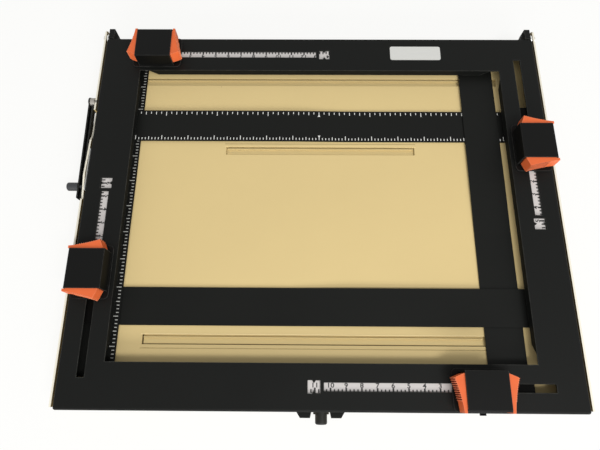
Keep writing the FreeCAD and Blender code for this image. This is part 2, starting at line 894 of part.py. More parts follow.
def make_lever(side, mirror, letter):
    """Squeeze lever on one side of a cap, hollowed for a thumb or finger."""
    tag = f"lever_{letter}_{side.name}"
    body = new_body(f"Lever_{letter}_{side.name}")
    points = [
        ("tip_half", "-tip_out"),
        ("bulge_half", "-bulge_out"),
        ("side_half", "-wall_inner - nose_in"),
        ("arm_half", "-wall_inner - arm_in"),
        ("heel_half", "-wall_outer + shank_in"),
        ("heel_half", "-wall_outer + heel_in"),
        ("side_half", "-wall_outer + heel_in"),
        ("side_half", "-tip_out"),
    ]
    outline = [(f"{mirror} * ({x})", y) for x, y in points]
    span = ("lever_low", "lever_top")
    pad(body, f"{tag}_pad", "XY", span, [outline])
    round_edges(body, f"{tag}_bulge", "bulge_round", is_bulge_edge)
    grip_x = "(tip_half + bulge_half) / 2 + grip_away * (tip_out - bulge_out)"
    grip_y = "-(tip_out + bulge_out) / 2 - grip_away * (bulge_half - tip_half)"
    grip = [(f"{mirror} * ({grip_x})", grip_y, "grip_radius")]
    wide_span = ("lever_low - 1", "lever_top + 1")
    pocket(body, f"{tag}_grip", "XY", wide_span, circles=grip)
    bore = [(f"{mirror} * pivot_half", "-pivot_out", "lever_pin + running_fit")]
    pocket(body, f"{tag}_bore", "XY", wide_span, circles=bore)
    side.place(body, f"lever_{letter}")


def is_bulge_edge(edge):
    """Pick the upright edge where a lever is widest."""
    return along(edge, 2) and near(abs(edge.Vertexes[0].X), "bulge_half")


def make_lever_spring(side):
    """Hairpin spring that pushes a slider's two levers apart."""
    body = new_body(f"LeverSpring_{side.name}")
    tip_out = "wall_inner + spring_tip_in"
    lean = "(arm_half - heel_half) / (wall_outer - shank_in - wall_inner - arm_in)"
    tip = f"arm_half - (spring_tip_in - arm_in) * {lean} - spring_touch"
    bend = "post_out + spring_post + spring_touch"
    inner_tip = f"{tip} - spring_sheet"
    inner_bend = "spring_bend_half - spring_sheet / 2"
    outline = [
        (less(tip), less(tip_out)),
        ("-spring_bend_half", f"-({bend}) - spring_sheet"),
        ("spring_bend_half", f"-({bend}) - spring_sheet"),
        (tip, less(tip_out)),
        (inner_tip, less(tip_out)),
        (inner_bend, less(bend)),
        (less(inner_bend), less(bend)),
        (less(inner_tip), less(tip_out)),
    ]
    low = "plate_top + spring_lift"
    pad(body, f"spring_{side.name}_pad", "XY", (low, f"{low} + spring_high"), [outline])
    side.place(body, "lever_spring")


def make_slider_pins(side):
    """Pivot pins, spring post and rivets of one slider."""
    tag = side.name
    parts = []
    length = "roof_low - plate_top"
    for sign in ("-", ""):
        x = f"{sign}pivot_half"
        pin = rod(f"pivot_{tag}{sign}", "z", (x, "-pivot_out", "plate_top"), "lever_pin", length)
        collar = rod(f"collar_{tag}{sign}", "z", (x, "-pivot_out", "plate_top"),
                     "lever_pin * 2", "lever_lift - lever_clear")
        parts.append(fuse(f"pivot_pin_{tag}{sign}", [pin, collar]))
        for place in ("-wall_inner - tab_deep / 2", "-wall_outer + tab_deep / 2"):
            spot = (f"{sign}tab_rivet_half", place, "plate_top + cap_wall")
            parts.append(rod(f"tab_rivet_{tag}{sign}", "z", spot, "rivet_head", "rivet_high"))
    post = ("0", "-post_out", "plate_top")
    parts.append(rod(f"post_{tag}", "z", post, "spring_post", "spring_lift + spring_high + spring_touch"))
    side.place(group(f"SliderPins_{tag}", parts), "slider_pins")


def make_slider(side):
    """All the pieces of one slider."""
    make_blade(side)
    make_carriage(side)
    make_tape(side)
    make_slider_plate(side)
    make_cap(side)
    make_lever(side, "1", "a")
    make_lever(side, "-1", "b")
    make_lever_spring(side)
    make_slider_pins(side)


# ------------------------------------------------------------- tray and rails

STOPS = ("rear", "middle", "front")


def make_tray():
    """Folded sheet tray: a flat top, two long walls and their inward lips."""
    body = new_body("Tray")
    front_in = "front_face + tray_sheet"
    rear_in = "tray_rear - tray_sheet"
    lip_top = "foot_height + tray_sheet"
    profile = [
        ("front_face", "foot_height"),
        ("front_face + tray_lip", "foot_height"),
        ("front_face + tray_lip", lip_top),
        (front_in, lip_top),
        (front_in, "tray_under"),
        (rear_in, "tray_under"),
        (rear_in, lip_top),
        ("tray_rear - tray_lip", lip_top),
        ("tray_rear - tray_lip", "foot_height"),
        ("tray_rear", "foot_height"),
        ("tray_rear", "tray_top"),
        ("front_face", "tray_top"),
    ]
    pad(body, "tray_fold", "YZ", ("-rail_inner", "rail_inner"), [profile])
    round_edges(body, "tray_bends", "tray_bend", is_tray_bend)
    slots = []
    for name in STOPS:
        low = f"{name}_slot"
        slots.append(rectangle(f"{low}_left", f"{low}_right", low, f"{low} + stop_slot"))
    pocket(body, "stop_slots", "XY", ("tray_under - 1", "tray_top + 1"), slots)
    reach = "(striker_wide / 2 + striker_clear)"
    notch = rectangle(f"striker_mid - {reach}", f"striker_mid + {reach}",
                      "striker_front - striker_clear", "striker_back + striker_clear")
    pocket(body, "striker_notch", "XY", ("tray_under - 1", "tray_top + 1"), [notch])
    bush = [("button_x", "button_z", "bush_radius + seat_fit")]
    pocket(body, "bush_hole", "XZ", ("front_face - 1", "front_face + tray_sheet + 1"), circles=bush)
    for sign in ("-", ""):
        for edge in ("front_face + tray_lip / 2", "tray_rear - tray_lip / 2"):
            hole = [(f"{sign}(outer_wide - foot_inset)", edge, "screw_radius + running_fit")]
            name = f"foot_hole_{len(body.Group)}"
            pocket(body, name, "XY", ("foot_height - 1", "foot_height + tray_sheet + 1"), circles=hole)
    finish(body, "base_tray")


def is_tray_bend(edge):
    """Pick the tray's outer bends, top and bottom, front and rear."""
    if not along(edge, 0):
        return False
    end = edge.Vertexes[0]
    outside = near(end.Y, "front_face") or near(end.Y, "tray_rear")
    return outside and (near(end.Z, "tray_top") or near(end.Z, "foot_height"))


def make_rail(name, sign, relief):
    """Side rail: an upright web with a hinge ear and a flange under the tray."""
    body = new_body(f"Rail_{name}")
    top = "tray_top + rail_rise"
    front = "front_face + rail_front"
    ear = "outer_deep + rail_ear_reach"
    ear_low = "hinge_z - rail_ear_drop"
    corner = "tray_rear - tray_bend"
    web = [
        (front, "foot_height"),
        (corner, "foot_height"),
        ("outer_deep", ear_low),
        (ear, ear_low),
        (ear, top),
        *relief,
        (front, top),
    ]
    inner = f"{sign}rail_inner"
    outer = f"{sign}rail_outer"
    span = (inner, outer) if sign == "" else (outer, inner)
    pad(body, f"{name}_web", "YZ", span, [web])
    round_edges(body, f"{name}_ear", "rail_ear_round", lambda edge: is_ear_edge(edge, ear))
    flange_x = ("rail_inner - rail_flange", "rail_inner + rail_sheet / 2")
    if sign == "-":
        flange_x = (less(flange_x[1]), less(flange_x[0]))
    flange = rectangle(*flange_x, f"{front} + rail_sheet", "tray_rear - rail_front")
    pad(body, f"{name}_flange", "XY", ("tray_under - rail_sheet", "tray_under"), [flange])
    wide = (f"{span[0]} - 1", f"{span[1]} + 1")
    bore = [("hinge_y", "hinge_z", "hinge_pin + seat_fit")]
    pocket(body, f"{name}_bore", "YZ", wide, circles=bore)
    return body, wide


def is_ear_edge(edge, ear):
    """Pick the two edges across the sheet at the end of a hinge ear."""
    return along(edge, 0) and near(edge.Vertexes[0].Y, ear)


def make_right_rail():
    """Side rail on the right."""
    body, _ = make_rail("side_rail_right", "", [])
    finish(body, "side_rail_right")


def make_left_rail():
    """Side rail on the left, with a wavy edge beside the margin lever."""
    top = "tray_top + rail_rise"
    relief = [
        ("relief_rear", top),
        ("relief_rear", f"{top} - relief_deep"),
        ("relief_front", f"{top} - relief_shallow"),
        ("relief_front - relief_ramp", f"{top} - relief_step"),
        ("guard_y", f"{top} + guard_rise"),
        ("relief_end", f"{top} - relief_end_deep"),
        ("relief_end", top),
    ]
    body, wide = make_rail("side_rail_left", "-", relief)
    stud = [("lever_y", "lever_z", "stud_radius + seat_fit")]
    pocket(body, "stud_hole", "YZ", wide, circles=stud)
    half = "(crank_pin + crank_arm)"
    low = "crank_z - crank_pin - carrier_gap"
    high = "crank_z + crank_pin + carrier_gap * 3"
    slot = rectangle(f"lever_y - {half}", f"lever_y + {half}", low, high)
    pocket(body, "crank_slot", "YZ", wide, [slot])
    finish(body, "side_rail_left")


def make_feet():
    """Four rubber feet, each with a sunk hole for its screw."""
    feet = []
    for number, (x, y) in enumerate(foot_spots()):
        foot = rod(f"foot_{number}", "z", (x, y, "0"), "foot_radius", "foot_height")
        below = (x, y, "-1")
        hole = rod(f"foot_hole_{number}", "z", below, "screw_radius + running_fit", "foot_height + 2")
        sink = rod(f"foot_sink_{number}", "z", below, "screw_head + slide_gap",
                   "screw_sunk + screw_head_high + 1")
        feet.append(cut(f"foot_cut_{number}", foot, fuse(f"foot_tool_{number}", [hole, sink])))
    finish(group("Feet", feet), "feet")


def make_foot_screws():
    """Screws up through the feet into the tray's lips."""
    screws = []
    for number, (x, y) in enumerate(foot_spots()):
        head = rod(f"screw_head_{number}", "z", (x, y, "screw_sunk"), "screw_head", "screw_head_high")
        length = "foot_height + tray_sheet + screw_past - screw_sunk"
        shank = rod(f"screw_shank_{number}", "z", (x, y, "screw_sunk"), "screw_radius", length)
        screws.append(fuse(f"screw_{number}", [head, shank]))
    finish(group("FootScrews", screws), "foot_screws")


def foot_spots():
    """Return the four places of the feet."""
    spots = []
    for x in ("-outer_wide + foot_inset", "outer_wide - foot_inset"):
        for y in ("front_face + tray_lip / 2", "tray_rear - tray_lip / 2"):
            spots.append((x, y))
    return spots


# ---------------------------------------------------------------------- hinge

def make_hinge_brackets():
    """Two lugs on the rear of the mask frame, each with a rounded gusset."""
    brackets = []
    for number, sign in enumerate((-1, 1)):
        span = ("bracket_inner", "bracket_outer")
        if sign < 0:
            span = ("-bracket_outer", "-bracket_inner")
        body = new_body(f"Bracket_{number}")
        reach = "hinge_y + lug_radius"
        upper = rectangle("outer_deep", reach, "hinge_z", "frame_top")
        pad(body, f"bracket_{number}_upper", "YZ", span, [upper])
        root = rectangle("outer_deep", "hinge_y", "flange_low", "frame_top")
        pad(body, f"bracket_{number}_root", "YZ", span, [root])
        lug = [("hinge_y", "hinge_z", "lug_radius")]
        pad(body, f"bracket_{number}_lug", "YZ", span, circles=lug)
        gusset = []
        for inward, back in ((0, 0), (0, 1), (0.5, 0.85), (0.85, 0.5), (1, 0)):
            x = f"{sign} * (bracket_inner - gusset * {inward})"
            gusset.append((x, f"outer_deep + gusset_back * {back}"))
        pad(body, f"bracket_{number}_gusset", "XY", ("flange_low", "frame_top - frame_bend"), [gusset])
        bore = [("hinge_y", "hinge_z", "hinge_pin + running_fit")]
        wide = (f"{span[0]} - gusset - 1", f"{span[1]} + gusset + 1")
        pocket(body, f"bracket_{number}_bore", "YZ", wide, circles=bore)
        brackets.append(body)
    finish(group("HingeBrackets", brackets), "hinge_brackets")


def make_hinge_pins():
    """Headed pins through the rails and brackets, each with its spacer washer."""
    parts = []
    through = "rail_outer - bracket_inner + pin_past"
    washer_long = "rail_inner - bracket_outer - washer_gap"
    starts = (
        ("right", "bracket_inner - pin_past", "rail_outer", "bracket_outer + washer_gap"),
        ("left", "-rail_outer", "-rail_outer - pin_head", "-rail_inner"),
    )
    for name, shank_x, head_x, washer_x in starts:
        shank = rod(f"pin_{name}", "x", (shank_x, "hinge_y", "hinge_z"), "hinge_pin", through)
        head = rod(f"pin_head_{name}", "x", (head_x, "hinge_y", "hinge_z"), "pin_head_radius", "pin_head")
        washer_start = (washer_x, "hinge_y", "hinge_z")
        washer = rod(f"pin_washer_{name}", "x", washer_start, "washer_radius", washer_long)
        parts.append(fuse(f"hinge_pin_{name}", [shank, head, washer]))
    finish(group("HingePins", parts), "hinge_pins")


# ---------------------------------------------------------------- paper stops

def make_stop(name):
    """Paper stop: a strip under the tray with an edge that stands in the slot."""
    body = new_body(f"Stop_{name}")
    slot = f"{name}_slot"
    low = f"{slot} - stop_margin"
    high = f"{slot} + stop_slot + stop_margin + stop_travel"
    strip_right = f"max({slot}_right + strip_lap; {name}_stop_right)"
    strip = rectangle("-carrier_left", strip_right, low, high)
    pad(body, f"{name}_strip", "XY", ("stop_low", "stop_top"), [strip])
    edge = f"{slot} + stop_slot - stop_margin"
    lip_left = f"{slot}_left + lip_short"
    lip_right = f"min({slot}_right - lip_short; {name}_stop_right)"
    lip = rectangle(lip_left, lip_right, f"{edge} - stop_sheet", edge)
    pad(body, f"{name}_lip", "XY", ("stop_low", "tray_top - lip_sunk"), [lip])
    finish(body, f"{name}_stop")


def make_stop_carrier():
    """Bar that ties the three paper stops together, with the crank's tab."""
    body = new_body("StopCarrier")
    left = "-carrier_left"
    right = "-carrier_left + carrier_wide"
    front = "front_slot - stop_margin - carrier_past"
    rear = "rear_slot + stop_slot + stop_margin + stop_travel + carrier_past"
    pad(body, "carrier_bar", "XY", ("carrier_low", "stop_low"), [rectangle(left, right, front, rear)])
    tab = rectangle("lever_y - crank_tab", "lever_y + crank_tab", "crank_z - crank_tab_drop", "stop_low")
    span = ("-crank_tab_face", "-carrier_left")
    pad(body, "carrier_tab", "YZ", span, [tab])
    half = "(crank_pin + crank_slide)"
    low = "crank_z - crank_pin - carrier_gap"
    high = "crank_z + crank_pin + carrier_gap * 3"
    slot = rectangle(f"lever_y - {half}", f"lever_y + {half}", low, high)
    pocket(body, "carrier_slot", "YZ", ("-crank_tab_face - 1", "-carrier_left + 1"), [slot])
    finish(body, "stop_carrier")


def make_carrier_straps():
    """Straps under the tray that carry the bar and the right ends of the stops."""
    straps = []
    for name in ("front", "rear"):
        middle = f"strap_{name}"
        left = "-carrier_left - carrier_gap"
        right = "-carrier_left + carrier_wide + carrier_gap"
        depth = (f"{middle} - strap_wide / 2", f"{middle} + strap_wide / 2")
        straps.append(make_strap(f"carrier_{name}", (left, right), depth, "carrier_low", 0))
    for name in STOPS:
        right = f"{name}_stop_right - strap_right"
        low = f"{name}_slot - stop_margin - stop_travel - carrier_gap"
        high = f"{name}_slot + stop_slot + stop_margin + stop_travel + carrier_gap"
        across = (f"{right} - strap_wide", right)
        straps.append(make_strap(f"stop_{name}", across, (low, high), "stop_low", 1))
    finish(group("CarrierStraps", straps), "carrier_straps")


def make_strap(name, across, deep, under, open_axis):
    """Fold a strap from the tray's underside round a bar that is this low."""
    outer = [list(across), list(deep)]
    wall_axis = open_axis
    outer[wall_axis] = [f"{outer[wall_axis][0]} - strap_sheet", f"{outer[wall_axis][1]} + strap_sheet"]
    floor = f"{under} - carrier_gap"
    shell = block(f"strap_{name}_shell", *outer, (f"{floor} - strap_sheet", "tray_under"))
    inner = [list(across), list(deep)]
    other = 1 - wall_axis
    inner[other] = [f"{inner[other][0]} - 1", f"{inner[other][1]} + 1"]
    hollow = block(f"strap_{name}_hollow", *inner, (floor, "tray_under + 1"))
    return cut(f"strap_{name}_cut", shell, hollow)


# --------------------------------------------------------------- margin lever

KNOB_Z = "lever_z - margin_fall * (lever_y - knob_y) / margin_long"


def make_margin_lever():
    """Lever outside the left rail: a channel open upwards, with its crank and pin."""
    body = new_body("MarginLever")
    rear = "lever_y - margin_back"
    top = "lever_z + margin_high / 2"
    low = "lever_z - margin_high / 2"
    wall_in = "-margin_outer + margin_wall"
    side = [
        ("lever_y", low),
        ("lever_y", top),
        ("lever_front", f"{top} - margin_fall"),
        ("lever_front", f"{low} - margin_fall + margin_high / 2"),
        ("lever_front + margin_taper", f"{low} - margin_fall"),
    ]
    pad(body, "lever_bar", "YZ", ("-margin_outer", "-margin_inner"), [side])
    hollow = [
        ("lever_y + 1", f"{low} + margin_wall"),
        ("lever_y + 1", f"{top} + 1"),
        ("lever_front - 1", f"{top} + 1"),
        ("lever_front - 1", f"{low} + margin_wall + margin_high / 2 - margin_fall"),
        ("lever_front + margin_taper", f"{low} + margin_wall - margin_fall"),
    ]
    pocket(body, "lever_channel", "YZ", (wall_in, "-margin_inner - margin_web"), [hollow])
    behind = rectangle(wall_in, "-margin_inner + 1", rear, "lever_y + 1")
    pocket(body, "lever_rear_end", "XY", (f"{low} - 1", f"{top} + 1"), [behind])
    skew = [
        ("-margin_outer - 1", "lever_front - 1"),
        ("-margin_outer - 1", "lever_front + margin_skew"),
        ("-margin_outer", "lever_front + margin_skew"),
        ("-margin_inner", "lever_front"),
        ("-margin_inner", "lever_front - 1"),
    ]
    pocket(body, "lever_front_end", "XY", (f"{low} - margin_fall - 1", f"{top} + 1"), [skew])
    outer_wall = ("-margin_outer", wall_in)
    pad(body, "lever_eye", "YZ", outer_wall, circles=[("lever_y", "lever_z", "margin_eye")])
    arm = rectangle("lever_y - crank_arm", "lever_y + crank_arm", "crank_z", "lever_z")
    pad(body, "crank_arm_plate", "YZ", outer_wall, [arm])
    pad(body, "crank_arm_end", "YZ", outer_wall, circles=[("lever_y", "crank_z", "crank_arm")])
    pin_end = "-carrier_left + carrier_gap"
    crank = [("lever_y", "crank_z", "crank_pin")]
    pad(body, "crank_pin_rod", "YZ", (wall_in, pin_end), circles=crank)
    through = ("-margin_outer - 1", wall_in)
    bores = [
        ("lever_y", "lever_z", "stud_radius + running_fit"),
        ("knob_y", KNOB_Z, "knob_pin + seat_fit"),
    ]
    pocket(body, "lever_bores", "YZ", through, circles=bores)
    finish(body, "margin_lever")


def make_lever_knob():
    """Turned pin that the margin lever is pushed by."""
    body = new_body("LeverKnob")
    span = ("-margin_outer - knob_out", "-margin_inner - margin_web")
    pad(body, "knob_shank", "YZ", span, circles=[("knob_y", KNOB_Z, "knob_pin")])
    head = ("-margin_outer - knob_out", "-margin_outer")
    pad(body, "knob_head", "YZ", head, circles=[("knob_y", KNOB_Z, "knob_radius")])
    round_edges(body, "knob_end", "knob_round", lambda edge: near(edge.BoundBox.XMax, head[0]))
    finish(body, "lever_knob")


def make_pivot_stud():
    """Stud in the left rail, with the barrel and the thin head that hold the lever."""
    axis = ("lever_y", "lever_z")
    barrel_end = "-margin_outer + margin_wall + stud_play"
    shank = rod("stud_shank", "x", ("-margin_outer - stud_play", *axis), "stud_radius",
                "margin_outer + stud_play - rail_inner")
    head = rod("stud_cap_disc", "x", ("-margin_outer - stud_play - stud_cap_thick", *axis),
               "stud_cap", "stud_cap_thick")
    barrel = rod("stud_barrel_rod", "x", (barrel_end, *axis), "stud_barrel",
                 f"-({barrel_end}) - rail_outer")
    finish(fuse("PivotStud", [shank, head, barrel]), "pivot_stud")


def make_margin_scale():
    """Scale strip on the inside of the left rail, beside the margin lever."""
    body = new_body("MarginScale")
    top = "tray_top + scale_rise"
    face = rectangle("scale_front", "scale_front + scale_long", f"{top} - scale_high", top)
    pad(body, "scale_strip", "YZ", ("-rail_inner", "-rail_inner + scale_thick"), [face])
    finish(body, "margin_scale")


# -------------------------------------------------------------- release button

def make_button_bush():
    """Flanged bush in the tray's front wall."""
    start = ("button_x", "front_face - bush_flange_thick", "button_z")
    flange = rod("bush_flange_disc", "y", start, "bush_flange", "bush_flange_thick")
    sleeve = rod("bush_sleeve", "y", start, "bush_radius", "bush_long")
    bore_start = ("button_x", "front_face - bush_flange_thick - 1", "button_z")
    bore = rod("bush_bore", "y", bore_start, "button_radius + running_fit", "bush_long + 2")
    finish(cut("ButtonBush", fuse("bush_body", [flange, sleeve]), bore), "button_bush")


def make_front_button():
    """Round button with the rod that carries the catch."""
    body = new_body("FrontButton")
    tip = "front_face - button_out"
    head = [("button_x", "button_z", "button_radius")]
    pad(body, "button_head", "XZ", (tip, f"{tip} + button_long"), circles=head)
    round_edges(body, "button_end", "button_round", lambda edge: near(edge.BoundBox.YMax, tip))
    shank = [("button_x", "button_z", "rod_radius")]
    pad(body, "button_rod", "XZ", (f"{tip} + button_long", "plate_y"), circles=shank)
    finish(body, "front_button")


def make_catch():
    """Catch plate on the button's rod, with the nose that meets the striker."""
    body = new_body("Catch")
    left = "striker_mid - striker_wide / 2 + frame_sheet + striker_clear"
    nose_right = "striker_right - frame_sheet - striker_clear"
    plate = rectangle(left, "button_x + rod_radius", "button_z - rod_radius", "nose_top")
    pad(body, "catch_face", "XZ", ("plate_y", "plate_y + catch_thick"), [plate])
    nose = rectangle(left, nose_right, "striker_back + catch_gap", "plate_y + catch_thick")
    pad(body, "catch_nose", "XY", ("nose_top - nose_thick", "nose_top"), [nose])
    finish(body, "catch_plate")


# ---------------------------------------------------------------------- build

def build():
    """Make every sub-part."""
    fill_sheet()
    make_mask_frame()
    make_name_plate()
    make_tape_guides()
    for side in SIDES:
        make_slider(side)
    make_tray()
    make_left_rail()
    make_right_rail()
    make_feet()
    make_foot_screws()
    make_hinge_brackets()
    make_hinge_pins()
    for name in STOPS:
        make_stop(name)
    make_stop_carrier()
    make_carrier_straps()
    make_margin_lever()
    make_lever_knob()
    make_pivot_stud()
    make_margin_scale()
    make_button_bush()
    make_front_button()
    make_catch()
    doc.recompute()


def check():
    """Stop if any object failed or any sub-part has no valid shape."""
    for obj in doc.Objects:
        if "Invalid" in obj.State or "Error" in obj.State:
            raise ValueError(f"{obj.Label} failed: {obj.State}")
    for piece in pieces:
        if piece.Shape.isNull() or not piece.Shape.isValid() or not piece.Shape.Solids:
            raise ValueError(f"{piece.Label} has no valid shape")


def write():
    """Write one STEP file for each sub-part, under its own label."""
    os.makedirs("parts", exist_ok=True)
    for piece in pieces:
        piece.Shape.exportStep(os.path.join("parts", f"{piece.Label}.step"))


build()
check()
write()
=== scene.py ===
"""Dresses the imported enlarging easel: finishes, graduations, numerals, grips, camera and light."""

import json
import logging
import math
from dataclasses import dataclass
from enum import Enum

import bmesh
import bpy
from mathutils import Matrix, Vector


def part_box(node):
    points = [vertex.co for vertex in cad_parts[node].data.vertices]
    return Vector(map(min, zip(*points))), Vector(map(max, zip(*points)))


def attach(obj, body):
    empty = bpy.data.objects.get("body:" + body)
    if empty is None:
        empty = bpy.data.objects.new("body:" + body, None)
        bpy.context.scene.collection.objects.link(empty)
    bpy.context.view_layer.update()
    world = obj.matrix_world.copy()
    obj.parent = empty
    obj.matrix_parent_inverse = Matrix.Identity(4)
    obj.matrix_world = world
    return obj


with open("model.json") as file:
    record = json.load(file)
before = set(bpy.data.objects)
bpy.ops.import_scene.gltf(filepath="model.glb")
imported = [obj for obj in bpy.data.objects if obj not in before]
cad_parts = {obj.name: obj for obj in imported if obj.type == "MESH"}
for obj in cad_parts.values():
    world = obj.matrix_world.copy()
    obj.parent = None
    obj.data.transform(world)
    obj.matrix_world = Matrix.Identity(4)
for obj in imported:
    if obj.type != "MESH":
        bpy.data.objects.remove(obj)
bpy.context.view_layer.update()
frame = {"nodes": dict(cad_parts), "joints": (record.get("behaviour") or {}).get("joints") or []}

LOG = logging.getLogger("easel")
MM = 0.001
INCH = 0.0254
INK_PROUD = 0.02 * MM

Colour = tuple[float, float, float]
Mesh = bpy.types.Mesh
Socket = bpy.types.NodeSocket


# ------------------------------------------------------------------ node trees

class Wiring:
    """Adds and links the nodes of one tree."""

    def __init__(self, tree: bpy.types.NodeTree) -> None:
        """Keep the tree that the nodes go into."""
        self.tree = tree

    def put(self, socket: Socket, given: object) -> None:
        """Set a socket to a value, or link it to other sockets.

        Args:
            socket: The input.
            given: A plain value, a colour without its alpha, an output socket, or a list of those.
        """
        if isinstance(given, list):
            for each in given:
                self.put(socket, each)
        elif isinstance(given, Socket):
            self.tree.links.new(given, socket)
        elif socket.type == "RGBA":
            socket.default_value = (*given, 1.0)
        else:
            socket.default_value = given

    def add(self, kind: str, inputs: dict | None = None, **settings: object) -> object:
        """Add one node.

        Args:
            kind: The node's type name.
            inputs: Values or sockets for its inputs, by name or number.
            settings: Properties of the node itself.

        Returns:
            The node's outputs, by name or number.
        """
        node = self.tree.nodes.new(kind)
        for name, setting in settings.items():
            setattr(node, name, setting)
        for name, given in (inputs or {}).items():
            self.put(node.inputs[name], given)
        return node.outputs

    def calc(self, operation: str, first: object, second: object = 0.0) -> Socket:
        """Return the result of one step of arithmetic."""
        return self.add("ShaderNodeMath", {0: first, 1: second}, operation=operation)[0]

    def vector(self, operation: str, first: object, second: object = (0.0, 0.0, 0.0)) -> Socket:
        """Return the result of one step of arithmetic on vectors."""
        made = self.add("ShaderNodeVectorMath", {0: first, 1: second}, operation=operation)
        return made["Value" if operation == "DOT_PRODUCT" else "Vector"]

    def split(self, given: Socket) -> object:
        """Return a vector's parts, by their axes."""
        return self.add("ShaderNodeSeparateXYZ", {0: given})

    def join(self, **parts: object) -> Socket:
        """Return the vector that the given parts make."""
        return self.add("ShaderNodeCombineXYZ", parts)[0]

    def ramp(self, value: object, start: object, end: object, low: object = 0.0,
             high: object = 1.0) -> Socket:
        """Carry a value over from one range to another, and hold it there.

        Args:
            value: The value.
            start: Where its own range starts.
            end: Where it ends.
            low: What the start becomes.
            high: What the end becomes.

        Returns:
            The result's socket.
        """
        return self.add("ShaderNodeMapRange", {
            "Value": value, "From Min": start, "From Max": end, "To Min": low,
            "To Max": high})["Result"]

    def noise(self, place: Socket, scale: object, detail: float, rough: float) -> Socket:
        """Return soft noise at a place."""
        return self.add("ShaderNodeTexNoise", {
            "Vector": place, "Scale": scale, "Detail": detail, "Roughness": rough})["Fac"]

    def mix(self, share: Socket, first: object, second: object) -> Socket:
        """Return the first colour with a share of the second in it."""
        return self.add("ShaderNodeMix", {0: share, 6: first, 7: second}, data_type="RGBA")[2]


class GroupWiring(Wiring):
    """The nodes of a group, between its inputs and its outputs."""

    def __init__(self, tree: bpy.types.NodeTree) -> None:
        """Add the group's two ends.

        Args:
            tree: The group's tree.
        """
        super().__init__(tree)
        self.given = self.add("NodeGroupInput")
        self.ends = tree.nodes.new("NodeGroupOutput").inputs

    def give(self, **results: Socket) -> None:
        """Link results to the group's outputs by name."""
        for name, result in results.items():
            self.put(self.ends[name], result)


class GroupMaker:
    """Base of a node group, with the types of its inputs and outputs."""

    name = "group"
    kind = "ShaderNodeTree"
    takes: dict[str, str] = {}
    gives: dict[str, str] = {}

    def tree(self) -> bpy.types.NodeTree:
        """Return the group's tree, made the first time it is asked for."""
        return bpy.data.node_groups.get(self.name) or self.make()

    def make(self) -> bpy.types.NodeTree:
        """Make the tree with its sockets, and let the subclass wire it.

        Returns:
            The finished tree.
        """
        tree = bpy.data.node_groups.new(self.name, self.kind)
        for way, sockets in (("INPUT", self.takes), ("OUTPUT", self.gives)):
            for name, kind in sockets.items():
                tree.interface.new_socket(name, in_out=way, socket_type=f"NodeSocket{kind}")
        self.wire(GroupWiring(tree))
        return tree

    def wire(self, nodes: GroupWiring) -> None:
        """Wire the group from its inputs to its outputs."""
        raise NotImplementedError


class StoveTexture(GroupMaker):
    """Fine orange-peel relief of stoved enamel, with slow changes of tone."""

    name = "stove_texture"
    takes = {"Place": "Vector", "Grain Scale": "Float", "Tone Scale": "Float", "Light": "Color",
             "Dark": "Color"}
    gives = {"Color": "Color", "Height": "Float", "Tone": "Float"}
    fine_noise = (3.0, 0.6)
    slow_noise = (5.0, 0.62)
    tone_range = (0.32, 0.68)
    tone_share = 0.65

    def wire(self, nodes: GroupWiring) -> None:
        """Wire the relief and the tone.

        Args:
            nodes: The group's nodes.
        """
        given = nodes.given
        fine = nodes.noise(given["Place"], given["Grain Scale"], *self.fine_noise)
        slow = nodes.noise(given["Place"], given["Tone Scale"], *self.slow_noise)
        tone = nodes.ramp(slow, *self.tone_range)
        share = nodes.calc("ADD", nodes.calc("MULTIPLY", tone, self.tone_share),
                           nodes.calc("MULTIPLY", fine, 1.0 - self.tone_share))
        nodes.give(Color=nodes.mix(share, given["Dark"], given["Light"]), Height=fine, Tone=tone)


class DustMask(GroupMaker):
    """Sparse pale specks, each a small round cell picked by chance."""

    name = "dust_mask"
    takes = {"Place": "Vector", "Cells": "Float", "Radius": "Float", "Share": "Float"}
    gives = {"Mask": "Float"}

    def wire(self, nodes: GroupWiring) -> None:
        """Wire the specks.

        Args:
            nodes: The group's nodes.
        """
        given = nodes.given
        cells = nodes.add("ShaderNodeTexVoronoi", {
            "Vector": given["Place"], "Scale": given["Cells"]})
        chance = nodes.add("ShaderNodeSeparateColor", {"Color": cells["Color"]})
        size = nodes.calc("MULTIPLY", given["Radius"], chance[1])
        near = nodes.calc("LESS_THAN", cells["Distance"], size)
        picked = nodes.calc("LESS_THAN", chance[0], given["Share"])
        nodes.give(Mask=nodes.calc("MULTIPLY", near, picked))


class Brushing(GroupMaker):
    """Long fine scratches of brushed or rolled metal."""

    name = "brushing"
    takes = {"Place": "Vector", "Stretch": "Vector", "Light": "Color", "Dark": "Color"}
    gives = {"Color": "Color", "Height": "Float"}
    line_noise = (4.0, 0.7)

    def wire(self, nodes: GroupWiring) -> None:
        """Wire the scratches.

        Args:
            nodes: The group's nodes.
        """
        given = nodes.given
        drawn = nodes.vector("MULTIPLY", given["Place"], given["Stretch"])
        lines = nodes.noise(drawn, 1.0, *self.line_noise)
        nodes.give(Color=nodes.mix(lines, given["Dark"], given["Light"]), Height=lines)


